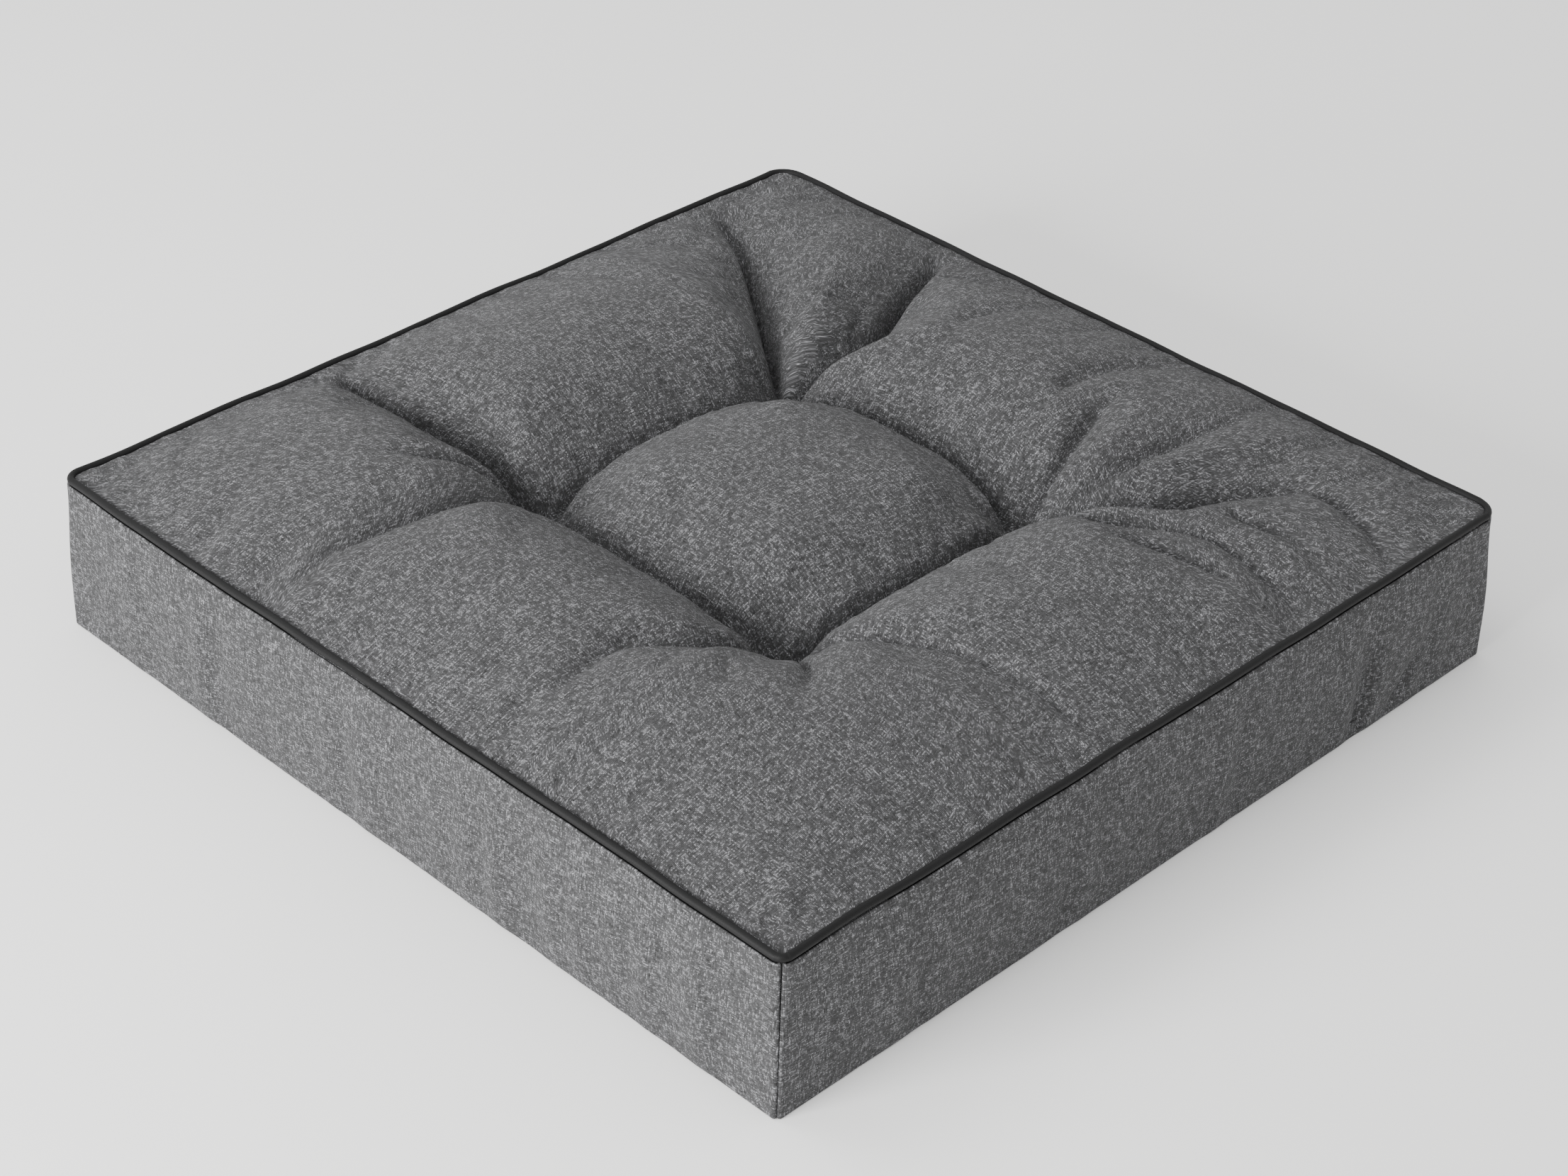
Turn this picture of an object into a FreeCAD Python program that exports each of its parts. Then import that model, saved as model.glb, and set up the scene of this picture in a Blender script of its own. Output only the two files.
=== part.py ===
# Tufted floor cushion: a boxed and piped woven cover round a foam slab and loose fibre,
# drawn in by four twine tufts. Millimetres, +Z up, origin at the middle of the underside.
# Front is -Y, right is +X.
import FreeCAD, Part
import math
import os
import Sketcher

from FreeCAD import Placement, Rotation, Vector

doc = FreeCAD.newDocument("floor_cushion")

# Driving dimensions: alias, value and what it measures.
DIMENSIONS = [
    ("side_length", 600, "over the bands, both ways"),
    ("band_height", 100, "floor to top seam"),
    ("crown_height", 34, "highest puff above the top seam"),
    ("fabric_thickness", 1, "woven cover cloth"),
    ("seam_allowance", 10, "cloth turned in at every seam"),
    ("seam_gap", 0.1, "between layers sewn together"),
    ("filling_clearance", 0.3, "between the filling and the cover"),
    ("piping_cord_diameter", 3, "cord inside the piping"),
    ("piping_fabric_thickness", 0.8, "bias strip round the cord"),
    ("piping_corner_radius", 12, "piping line at the corners"),
    ("tuft_spacing", 200, "between neighbouring tufts"),
    ("tuft_depth", 26, "tuft floor below the top seam"),
    ("tuft_width", 44, "half-depth radius of a tuft's hollow"),
    ("valley_depth", 15, "crease between neighbouring tufts"),
    ("valley_width", 26, "half-width of that crease"),
    ("edge_fullness", 3.6, "power of the crown's profile, higher is squarer"),
    ("foam_thickness", 42, "slab in the lower half"),
    ("dimple_depth", 10, "hollow under each tuft in the underside"),
    ("dimple_diameter", 84, "mouth of that hollow"),
    ("dimple_floor_diameter", 20, "top of that hollow"),
    ("twine_diameter", 1.5, "tufting twine"),
    ("twine_span", 6, "between the two strands of a tuft"),
    ("twine_clearance", 0.3, "round a strand in its channel"),
    ("knot_width", 11, "knot under a tuft, across"),
    ("knot_height", 6, "knot under a tuft, along the twine"),
    ("thread_diameter", 0.8, "sewing thread"),
    ("seam_line", 4, "top and bottom seam stitches in from the fold"),
    ("opening_length", 240, "filling opening, closed by hand"),
    ("closing_pitch", 8, "between closing stitches"),
    ("closing_height", 6, "a closing stitch on the band"),
]

sheet = doc.addObject("Spreadsheet::Sheet", "Sizes")
for row, (alias, value, note) in enumerate(DIMENSIONS, start=1):
    sheet.set(f"A{row}", alias)
    sheet.set(f"B{row}", str(value))
    sheet.set(f"C{row}", note)
    sheet.setAlias(f"B{row}", alias)
doc.recompute()

# Lengths worked out from the sheet, as expressions. Each "in" length is measured inwards
# from the band's outer face, through the layers that meet in a seam.
HALF = "Sizes.side_length / 2"
CLOTH = "Sizes.fabric_thickness"
HEM_IN = "2 * Sizes.fabric_thickness"
PIPING_TAIL_IN = f"({HEM_IN} + Sizes.seam_gap)"
PIPING_AXIS_IN = f"({PIPING_TAIL_IN} + Sizes.piping_fabric_thickness)"
PIPING_RADIUS = "(Sizes.piping_cord_diameter / 2 + Sizes.piping_fabric_thickness)"
PIPING_AXIS_Z = f"(Sizes.band_height + Sizes.seam_gap + {PIPING_RADIUS})"
PANEL_TAIL_IN = f"({PIPING_AXIS_IN} + Sizes.piping_fabric_thickness + Sizes.seam_gap)"
PANEL_LIP_IN = f"({PIPING_AXIS_IN} + {PIPING_RADIUS} + Sizes.seam_gap)"
PANEL_TAIL_INNER = f"({PANEL_TAIL_IN} + {CLOTH})"
PANEL_LIP_INNER = f"({PANEL_LIP_IN} + {CLOTH})"
BOTTOM_RIM_IN = f"({HEM_IN} + Sizes.seam_gap)"
BOTTOM_RIM_INNER = f"({BOTTOM_RIM_IN} + {CLOTH})"
FOAM_IN = f"({BOTTOM_RIM_INNER} + Sizes.seam_gap + Sizes.thread_diameter + Sizes.filling_clearance)"
FOAM_BOTTOM = f"({CLOTH} + Sizes.filling_clearance)"
FOAM_TOP = f"({FOAM_BOTTOM} + Sizes.foam_thickness)"
FIBRE_BOTTOM = f"({FOAM_TOP} + Sizes.filling_clearance)"
FIBRE_IN = f"({CLOTH} + Sizes.filling_clearance)"
FIBRE_CROWN_IN = f"({PANEL_LIP_INNER} + Sizes.filling_clearance)"
TUFT = "Sizes.tuft_spacing / 2"
STRAND = "Sizes.twine_span / 2"
CHANNEL_RADIUS = "(Sizes.twine_diameter / 2 + Sizes.twine_clearance)"
# A corner this round clears the allowances that two bands turn in along the diagonal.
FILLING_CORNER = "((Sizes.seam_allowance + 2 * Sizes.filling_clearance) / (sqrt(2) - 1))"

# The bands' end allowances stop short of the hems.
END_FLOOR = "(Sizes.seam_allowance + Sizes.seam_gap)"
END_LENGTH = "(Sizes.band_height - 2 * (Sizes.seam_allowance + Sizes.seam_gap))"
# Above everything, for solids that are cut back to the puffed surface.
CEILING = "(Sizes.band_height + 2 * Sizes.crown_height)"
# Samples of that surface between an edge and the first tuft, and between two tufts.
CROWN_SPANS = 12
# Drawn length of the construction line that an outline turns about.
AXIS_LENGTH = 50

SIDES = {"front": 0, "right": 90, "back": 180, "left": 270}
# Tufts and corners, one to each quarter of the plan, as signs of X and Y.
QUARTERS = {"front_left": (-1, -1), "front_right": (1, -1), "back_right": (1, 1), "back_left": (-1, 1)}


def size(expression):
    """The present value of an expression on the sheet."""
    return float(sheet.evalExpression(expression.replace("Sizes.", "")))


def inset(distance):
    """Half width of a square lying this far inside the bands' outer faces."""
    return f"({HALF} - {distance})"


def newBody(label):
    body = doc.addObject("PartDesign::Body", label)
    body.Label = label
    return body


def newSketch(body, name, role, offset="0"):
    """A sketch on one of the body's own origin planes, moved along the plane's normal."""
    sketch = body.newObject("Sketcher::SketchObject", name)
    plane = [p for p in body.Origin.OriginFeatures if p.Role == role][0]
    sketch.AttachmentSupport = [(plane, "")]
    sketch.MapMode = "FlatFace"
    sketch.setExpression("AttachmentOffset.Base.z", offset)
    return sketch


def bindPoint(sketch, geometry, vertex, x, y):
    """Dimensions from the sketch's origin that hold a point at two expressions."""
    for kind, expression in (("DistanceX", x), ("DistanceY", y)):
        constraint = Sketcher.Constraint(kind, -1, 1, geometry, vertex, size(expression))
        index = sketch.addConstraint(constraint)
        sketch.setExpression(f"Constraints[{index}]", expression)


def addPolygon(sketch, corners):
    """A closed outline of straight lines through corners given as pairs of expressions."""
    points = [Vector(size(x), size(y), 0) for x, y in corners]
    lines = []
    for start, end in zip(points, points[1:] + points[:1]):
        lines.append(sketch.addGeometry(Part.LineSegment(start, end)))
    for line, following in zip(lines, lines[1:] + lines[:1]):
        sketch.addConstraint(Sketcher.Constraint("Coincident", line, 2, following, 1))
    for line, (x, y) in zip(lines, corners):
        bindPoint(sketch, line, 1, x, y)


def addSquare(sketch, half):
    addPolygon(sketch, [
        (f"-{half}", f"-{half}"), (half, f"-{half}"), (half, half), (f"-{half}", half)
    ])


def addLoop(sketch, left, right, foot, bendStart):
    """Two uprights joined by half a circle: an open path in an upright plane."""
    lowLeft = Vector(size(left), size(foot), 0)
    highLeft = Vector(size(left), size(bendStart), 0)
    highRight = Vector(size(right), size(bendStart), 0)
    lowRight = Vector(size(right), size(foot), 0)
    rise = sketch.addGeometry(Part.LineSegment(lowLeft, highLeft))
    middle = (highLeft + highRight) / 2
    radius = (highRight - highLeft).Length / 2
    circle = Part.Circle(middle, Vector(0, 0, 1), radius)
    bend = sketch.addGeometry(Part.ArcOfCircle(circle, 0, math.pi))
    fall = sketch.addGeometry(Part.LineSegment(highRight, lowRight))
    sketch.addConstraint(Sketcher.Constraint("Coincident", rise, 2, bend, 2))
    sketch.addConstraint(Sketcher.Constraint("Coincident", bend, 1, fall, 1))
    sketch.addConstraint(Sketcher.Constraint("Vertical", rise))
    sketch.addConstraint(Sketcher.Constraint("Vertical", fall))
    bindPoint(sketch, rise, 1, left, foot)
    bindPoint(sketch, fall, 2, right, foot)
    sketch.addConstraint(Sketcher.Constraint("Horizontal", rise, 2, bend, 3))
    sketch.addConstraint(Sketcher.Constraint("Horizontal", fall, 1, bend, 3))
    index = sketch.addConstraint(Sketcher.Constraint("DistanceY", -1, 1, bend, 3, size(bendStart)))
    sketch.setExpression(f"Constraints[{index}]", bendStart)


def addCircle(sketch, x, y, radius):
    circle = Part.Circle(Vector(size(x), size(y), 0), Vector(0, 0, 1), size(radius))
    index = sketch.addGeometry(circle)
    bindPoint(sketch, index, 3, x, y)
    constraint = sketch.addConstraint(Sketcher.Constraint("Radius", index, size(radius)))
    sketch.setExpression(f"Constraints[{constraint}]", radius)


def addRoundedSquare(sketch, half, radius):
    """A square outline about the origin with rounded corners."""
    reach = size(half)
    bend = size(radius)
    inner = reach - bend
    arcs = []
    lines = []
    for quarter in range(4):
        turn = Rotation(Vector(0, 0, 1), 90 * quarter)
        centre = turn.multVec(Vector(inner, inner, 0))
        circle = Part.Circle(centre, Vector(0, 0, 1), bend)
        start = math.radians(90 * quarter)
        arcs.append(sketch.addGeometry(Part.ArcOfCircle(circle, start, start + math.pi / 2)))
        side = Part.LineSegment(
            turn.multVec(Vector(inner, reach, 0)), turn.multVec(Vector(-inner, reach, 0))
        )
        lines.append(sketch.addGeometry(side))
    for quarter in range(4):
        sketch.addConstraint(
            Sketcher.Constraint("Tangent", arcs[quarter], 2, lines[quarter], 1)
        )
        sketch.addConstraint(
            Sketcher.Constraint("Tangent", lines[quarter], 2, arcs[(quarter + 1) % 4], 1)
        )
    for quarter, (x, y) in enumerate(((1, 1), (-1, 1), (-1, -1), (1, -1))):
        bindPoint(
            sketch, arcs[quarter], 3, f"{x} * ({half} - {radius})", f"{y} * ({half} - {radius})"
        )
        index = sketch.addConstraint(Sketcher.Constraint("Radius", arcs[quarter], bend))
        sketch.setExpression(f"Constraints[{index}]", radius)


def addPad(body, sketch, name, length):
    pad = body.newObject("PartDesign::Pad", name)
    pad.Profile = sketch
    pad.setExpression("Length", length)
    return pad


def addChannels(body, name):
    """Two round channels through the body at each tuft, for the strands of its twine."""
    sketch = newSketch(body, name + "_sketch", "XY_Plane")
    for x, y in QUARTERS.values():
        for strand in (-1, 1):
            addCircle(
                sketch, f"({x} * {TUFT} + {strand} * {STRAND})", f"{y} * {TUFT}", CHANNEL_RADIUS
            )
    pocket = body.newObject("PartDesign::Pocket", name)
    pocket.Profile = sketch
    pocket.Type = "ThroughAll"
    pocket.Reversed = True
    return pocket


def addRevolved(body, kind, name, tuft, outline):
    """A full turn of an outline, given as radius and height, about one tuft's axis."""
    x, y = tuft
    # The XZ plane's own normal points to -Y, so its offset is minus the tuft's place in Y.
    sketch = newSketch(body, name + "_sketch", "XZ_Plane", f"{-y} * {TUFT}")
    addPolygon(sketch, [(f"({x} * {TUFT} + {radius})", height) for radius, height in outline])
    foot = Vector(size(f"{x} * {TUFT}"), 0, 0)
    axis = sketch.addGeometry(Part.LineSegment(foot, foot + Vector(0, AXIS_LENGTH, 0)), True)
    bindPoint(sketch, axis, 1, f"{x} * {TUFT}", "0")
    sketch.addConstraint(Sketcher.Constraint("Vertical", axis))
    turned = body.newObject(f"PartDesign::{kind}", name)
    turned.Profile = sketch
    turned.ReferenceAxis = (sketch, ["Axis0"])
    turned.Angle = 360
    return turned


def addPipe(body, kind, name, half, radius, height, drawSection):
    """A section carried round a rounded square, drawn where that crosses the right side."""
    path = newSketch(body, name + "_path", "XY_Plane", height)
    addRoundedSquare(path, half, radius)
    section = newSketch(body, name + "_section", "XZ_Plane")
    drawSection(section)
    pipe = body.newObject(f"PartDesign::{kind}", name)
    pipe.Profile = section
    pipe.Spine = path
    return pipe


def addShape(label, shape):
    """A piece whose shape is worked out in code from the sheet's values."""
    feature = doc.addObject("Part::Feature", label)
    feature.Label = label
    feature.Shape = shape
    return feature


# The cover

def mitred(outer, inner):
    """Corners of a front strip between two depths, cut at 45 degrees where sides meet."""
    return [
        (f"-{inset(outer)}", f"-{inset(outer)}"),
        (f"{inset(outer)}", f"-{inset(outer)}"),
        (f"{inset(inner)}", f"-{inset(inner)}"),
        (f"-{inset(inner)}", f"-{inset(inner)}"),
    ]


def makeBand(side, turn):
    """One side of the box: a wall with its top and bottom hems and its two end allowances."""
    body = newBody(f"band_{side}")
    wall = newSketch(body, f"wall_{side}", "XY_Plane")
    addPolygon(wall, mitred("0", CLOTH))
    addPad(body, wall, f"wall_pad_{side}", "Sizes.band_height")
    hemFloors = {"bottom": "0", "top": "Sizes.band_height - Sizes.seam_allowance"}
    for edge, floor in hemFloors.items():
        hem = newSketch(body, f"hem_{edge}_{side}", "XY_Plane", floor)
        addPolygon(hem, mitred(CLOTH, HEM_IN))
        addPad(body, hem, f"hem_pad_{edge}_{side}", "Sizes.seam_allowance")
    # The end allowances run inwards along the diagonals and stop short of the hems.
    reach = "Sizes.seam_allowance / sqrt(2)"
    layer = f"{CLOTH} / sqrt(2)"
    ends = newSketch(body, f"ends_{side}", "XY_Plane", END_FLOOR)
    for x in (-1, 1):
        addPolygon(ends, [
            (f"{x} * {inset(CLOTH)}", f"-{inset(CLOTH)}"),
            (f"{x} * {inset(reach)}", f"-{inset(reach)}"),
            (f"{x} * ({inset(reach)} - {layer})", f"-({inset(reach)} + {layer})"),
            (f"{x} * ({inset(CLOTH)} - 2 * {layer})", f"-{inset(CLOTH)}"),
        ])
    addPad(body, ends, f"ends_pad_{side}", END_LENGTH)
    body.Placement = Placement(Vector(0, 0, 0), Rotation(Vector(0, 0, 1), turn))
    return body


def makeBottomPanel():
    """A tray with a turned-up rim, drawn up into a shallow cone at each tuft."""
    body = newBody("bottom_panel")
    plate = newSketch(body, "plate", "XY_Plane")
    addSquare(plate, inset(BOTTOM_RIM_IN))
    addPad(body, plate, "plate_pad", CLOTH)
    rim = newSketch(body, "rim", "XY_Plane")
    addSquare(rim, inset(BOTTOM_RIM_IN))
    addSquare(rim, inset(BOTTOM_RIM_INNER))
    addPad(body, rim, "rim_pad", "Sizes.seam_allowance")
    mouth = "Sizes.dimple_diameter / 2"
    top = "Sizes.dimple_floor_diameter / 2"
    for name, tuft in QUARTERS.items():
        outside = [
            ("0", "0"),
            (f"({mouth} + {CLOTH})", "0"),
            (f"({top} + {CLOTH})", f"(Sizes.dimple_depth + {CLOTH})"),
            ("0", f"(Sizes.dimple_depth + {CLOTH})"),
        ]
        inside = [
            ("0", "0"),
            (mouth, "0"),
            (top, "Sizes.dimple_depth"),
            ("0", "Sizes.dimple_depth"),
        ]
        addRevolved(body, "Revolution", f"dimple_{name}", tuft, outside)
        addRevolved(body, "Groove", f"hollow_{name}", tuft, inside)
    addChannels(body, "bottom_holes")
    return body


def puffHeight(x, y):
    """Height of the top panel's outer face.

    The crown is a product of two profiles, 1 - |distance / reach| ** fullness. A crease
    runs through the tufts both ways, deep between them and fading towards the edges. Each
    tuft draws the cloth down to its floor with a bell-shaped weight.
    """
    reach = size(inset(PANEL_LIP_IN))
    edge = size(PIPING_AXIS_Z)
    crest = size("Sizes.band_height + Sizes.crown_height")
    floor = size("Sizes.band_height - Sizes.tuft_depth")
    tuft = size(TUFT)
    fullness = size("Sizes.edge_fullness")
    across = 1 - abs(x / reach) ** fullness
    along = 1 - abs(y / reach) ** fullness
    height = edge + (crest - edge) * across * along

    plain = 1.0
    for here, other in ((x, y), (y, x)):
        beyond = max(abs(other) - tuft, 0) / (reach - tuft)
        trough = math.exp(-(((abs(here) - tuft) / size("Sizes.valley_width")) ** 2))
        plain *= 1 - trough * (1 - beyond)
    height -= size("Sizes.valley_depth") * (1 - plain)

    free = 1.0
    for signX, signY in QUARTERS.values():
        radius = math.hypot(x - signX * tuft, y - signY * tuft) / size("Sizes.tuft_width")
        free *= 1 - math.exp(-math.log(2) * radius ** 2)
    return floor + (height - floor) * free


def puffSurface():
    """The puffed outer face as one smooth surface over the square inside the piping line.

    It is sampled so that the tufts lie on samples, and so the face meets their floors. It
    runs on past the lip, where the panel is cut off.
    """
    reach = size(inset(PIPING_AXIS_IN))
    tuft = size(TUFT)
    steps = [-reach]
    for start, end in ((-reach, -tuft), (-tuft, tuft), (tuft, reach)):
        steps += [start + (end - start) * k / CROWN_SPANS for k in range(1, CROWN_SPANS + 1)]
    surface = Part.BSplineSurface()
    surface.interpolate([[Vector(x, y, puffHeight(x, y)) for y in steps] for x in steps])
    return surface.toShape()


def roundedPrism(inwards, floor, ceiling, corner=None):
    """A solid on a rounded square this far inside the bands, between two heights."""
    half = size(inset(inwards))
    if corner is None:
        corner = f"(Sizes.piping_corner_radius + {PIPING_AXIS_IN} - {inwards})"
    low = size(floor)
    block = Part.makeBox(2 * half, 2 * half, size(ceiling) - low, Vector(-half, -half, low))
    uprights = [edge for edge in block.Edges if abs(edge.tangentAt(0).z) > 0.5]
    return block.makeFillet(size(corner), uprights)


def roundedRing(outer, inner, floor, ceiling):
    """The wall between two rounded squares."""
    return roundedPrism(outer, floor, ceiling).cut(roundedPrism(inner, floor, ceiling))


def strandChannels(low, high):
    """Upright cylinders round both strands of every tuft."""
    channels = []
    for x, y in QUARTERS.values():
        for strand in (-1, 1):
            at = Vector(x * size(TUFT) + strand * size(STRAND), y * size(TUFT), size(low))
            channels.append(Part.makeCylinder(size(CHANNEL_RADIUS), size(high) - size(low), at))
    return channels


def makeTopPanel(surface):
    """The puffed sheet, a lip down behind the piping, and the allowance below it."""
    thickness = Vector(0, 0, -size(CLOTH))
    crown = surface.extrude(thickness).common(roundedPrism(PANEL_LIP_IN, "0", CEILING))
    foldFloor = f"(Sizes.band_height - {CLOTH})"
    lip = roundedRing(PANEL_LIP_IN, PANEL_LIP_INNER, foldFloor, PIPING_AXIS_Z)
    fold = roundedRing(PANEL_TAIL_IN, PANEL_LIP_INNER, foldFloor, "Sizes.band_height")
    allowanceFloor = "Sizes.band_height - Sizes.seam_allowance"
    tail = roundedRing(PANEL_TAIL_IN, PANEL_TAIL_INNER, allowanceFloor, "Sizes.band_height")
    panel = crown.fuse([lip, fold, tail]).cut(strandChannels("0", CEILING))
    return addShape("top_panel", panel.removeSplitter().Solids[0])


def makePipingCover():
    """A bias strip folded round the cord, its two layers hanging inside the band."""
    body = newBody("piping_cover")
    half = inset(PIPING_AXIS_IN)
    route = (half, "Sizes.piping_corner_radius", PIPING_AXIS_Z)
    tail = [
        (inset(PIPING_TAIL_IN), "Sizes.band_height - Sizes.seam_allowance"),
        (inset(PIPING_TAIL_IN), PIPING_AXIS_Z),
        (f"({inset(PIPING_TAIL_IN)} - 2 * Sizes.piping_fabric_thickness)", PIPING_AXIS_Z),
        (
            f"({inset(PIPING_TAIL_IN)} - 2 * Sizes.piping_fabric_thickness)",
            "Sizes.band_height - Sizes.seam_allowance",
        ),
    ]
    bore = "Sizes.piping_cord_diameter / 2"
    addPipe(
        body, "AdditivePipe", "tube", *route, lambda s: addCircle(s, half, PIPING_AXIS_Z, PIPING_RADIUS)
    )
    addPipe(body, "AdditivePipe", "tail", *route, lambda s: addPolygon(s, tail))
    addPipe(
        body, "SubtractivePipe", "bore", *route, lambda s: addCircle(s, half, PIPING_AXIS_Z, bore)
    )
    return body


def makeRing(label, inwards, corner, height, radius):
    """A round cord or thread laid round the cushion."""
    body = newBody(label)
    half = inset(inwards)
    addPipe(
        body, "AdditivePipe", label + "_ring", half, corner, height,
        lambda s: addCircle(s, half, height, radius),
    )
    return body


# The filling

def makeFoamBase():
    """A soft slab with a cone cut in its underside at each tuft and the twines' channels."""
    body = newBody("foam_base")
    outline = newSketch(body, "foam_outline", "XY_Plane", FOAM_BOTTOM)
    addRoundedSquare(outline, inset(FOAM_IN), FILLING_CORNER)
    addPad(body, outline, "foam_slab", "Sizes.foam_thickness")
    spare = f"({CLOTH} + 2 * Sizes.filling_clearance)"
    roof = f"(Sizes.dimple_depth + {CLOTH} + Sizes.filling_clearance)"
    for name, tuft in QUARTERS.items():
        addRevolved(body, "Groove", f"foam_hollow_{name}", tuft, [
            ("0", FOAM_BOTTOM),
            (f"(Sizes.dimple_diameter / 2 + {spare})", FOAM_BOTTOM),
            (f"(Sizes.dimple_floor_diameter / 2 + {spare})", roof),
            ("0", roof),
        ])
    addChannels(body, "foam_channels")
    return body


def makeFibreFilling(surface):
    """Loose fibre from the slab up to the top panel, let in round the seam allowances."""
    below = Vector(0, 0, -size(f"{CLOTH} + Sizes.filling_clearance"))
    crown = surface.translated(below).extrude(Vector(0, 0, -size(CEILING)))
    upper = roundedPrism(FIBRE_CROWN_IN, FIBRE_BOTTOM, CEILING, FILLING_CORNER).common(crown)
    shoulder = "Sizes.band_height - Sizes.seam_allowance - Sizes.filling_clearance"
    lower = roundedPrism(FIBRE_IN, FIBRE_BOTTOM, shoulder, FILLING_CORNER)
    lower = lower.common(crown)
    filling = upper.fuse(lower).cut(strandChannels("0", CEILING))
    return addShape("fibre_filling", filling.removeSplitter().Solids[0])


# Twine and thread

def makeTuftTwine(name, tuft):
    """Two strands joined over the tuft's floor and tied in a knot under the bottom panel."""
    x, y = tuft
    body = newBody(f"tuft_twine_{name}")
    centre = f"{x} * {TUFT}"
    knotMiddle = "(Sizes.dimple_depth - Sizes.twine_clearance - Sizes.knot_height / 2)"
    bendStart = "(Sizes.band_height - Sizes.tuft_depth + Sizes.twine_diameter / 2)"
    left = f"({centre} - {STRAND})"
    right = f"({centre} + {STRAND})"

    path = newSketch(body, f"twine_path_{name}", "XZ_Plane", f"{-y} * {TUFT}")
    addLoop(path, left, right, knotMiddle, bendStart)
    section = newSketch(body, f"twine_section_{name}", "XY_Plane", knotMiddle)
    addCircle(section, left, f"{y} * {TUFT}", "Sizes.twine_diameter / 2")
    strand = body.newObject("PartDesign::AdditivePipe", f"twine_{name}")
    strand.Profile = section
    strand.Spine = path

    half = [
        ("0", f"({knotMiddle} - Sizes.knot_height / 2)"),
        ("Sizes.knot_width / 3", f"({knotMiddle} - Sizes.knot_height / 2)"),
        ("Sizes.knot_width / 2", knotMiddle),
        ("Sizes.knot_width / 3", f"({knotMiddle} + Sizes.knot_height / 2)"),
        ("0", f"({knotMiddle} + Sizes.knot_height / 2)"),
    ]
    addRevolved(body, "Revolution", f"knot_{name}", tuft, half)
    return body


def makeCornerThread(name, turn):
    """The stitches that join two bands at a corner, against the turned-in allowances."""
    along = f"(Sizes.seam_allowance + sqrt(2) * {CLOTH}) / 2"
    aside = f"({CLOTH} + Sizes.seam_gap + Sizes.thread_diameter / 2)"
    thread = doc.addObject("Part::Cylinder", f"corner_thread_{name}")
    thread.setExpression("Radius", "Sizes.thread_diameter / 2")
    thread.setExpression("Height", END_LENGTH)
    # Front left corner first, then a quarter turn for each corner after it.
    startX = f"({along} + {aside}) / sqrt(2) - {HALF}"
    startY = f"({along} - {aside}) / sqrt(2) - {HALF}"
    quarter = {0: (startX, startY), 90: (f"-({startY})", startX)}
    x, y = quarter[turn % 180]
    sign = 1 if turn < 180 else -1
    thread.setExpression("Placement.Base.x", f"{sign} * ({x})")
    thread.setExpression("Placement.Base.y", f"{sign} * ({y})")
    thread.setExpression("Placement.Base.z", END_FLOOR)
    return thread


def makeClosingThread():
    """Hand stitches along the back that close the filling opening, one solid each."""
    radius = size("Sizes.thread_diameter / 2")
    depth = size(inset(f"({BOTTOM_RIM_INNER} + Sizes.seam_gap + Sizes.thread_diameter / 2)"))
    floor = size("Sizes.seam_line + Sizes.thread_diameter")
    pitch = size("Sizes.closing_pitch")
    count = int(size("Sizes.opening_length") // pitch) + 1
    stitches = []
    for k in range(count):
        at = Vector((k - (count - 1) / 2) * pitch, depth, floor)
        stitches.append(Part.makeCylinder(radius, size("Sizes.closing_height"), at))
    return addShape("closing_thread", Part.makeCompound(stitches))


def main():
    surface = puffSurface()
    pieces = [makeTopPanel(surface), makeBottomPanel()]
    for side, turn in SIDES.items():
        pieces.append(makeBand(side, turn))
    pieces.append(makePipingCover())
    pieces.append(makeRing(
        "piping_cord", PIPING_AXIS_IN, "Sizes.piping_corner_radius", PIPING_AXIS_Z,
        "(Sizes.piping_cord_diameter / 2 - Sizes.seam_gap)",
    ))
    pieces.append(makeFoamBase())
    pieces.append(makeFibreFilling(surface))
    for name, tuft in QUARTERS.items():
        pieces.append(makeTuftTwine(name, tuft))
    topThread = f"({PANEL_TAIL_INNER} + Sizes.seam_gap + Sizes.thread_diameter / 2)"
    pieces.append(makeRing(
        "top_seam_thread", topThread,
        f"(Sizes.piping_corner_radius + {PIPING_AXIS_IN} - {topThread})",
        "(Sizes.band_height - Sizes.seam_line)", "Sizes.thread_diameter / 2",
    ))
    bottomThread = f"({BOTTOM_RIM_INNER} + Sizes.seam_gap + Sizes.thread_diameter / 2)"
    pieces.append(makeRing(
        "bottom_seam_thread", bottomThread, "2 * Sizes.thread_diameter", "Sizes.seam_line",
        "Sizes.thread_diameter / 2",
    ))
    for name, turn in zip(QUARTERS, SIDES.values()):
        pieces.append(makeCornerThread(name, turn))
    pieces.append(makeClosingThread())
    writeParts(pieces)


def writeParts(pieces):
    doc.recompute()
    for item in doc.Objects:
        if {"Invalid", "Error"} & set(item.State):
            raise RuntimeError(f"{item.Label} did not build: {item.State}")
    os.makedirs("parts", exist_ok=True)
    for piece in pieces:
        if piece.Shape.isNull() or not piece.Shape.isValid():
            raise RuntimeError(f"{piece.Label} has no sound shape")
        piece.Shape.exportStep(f"parts/{piece.Label}.step")
        box = piece.Shape.BoundBox
        print(f"{piece.Label:24} {len(piece.Shape.Solids):3} solids {piece.Shape.Volume:12.0f} mm3 "
              f"z {box.ZMin:6.1f} to {box.ZMax:6.1f}")


main()
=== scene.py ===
# Tufted floor cushion: cloth, piping, filling and twine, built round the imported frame. Metres.
import math

import bpy
import numpy as np
from mathutils import Matrix, Quaternion, Vector


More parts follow.
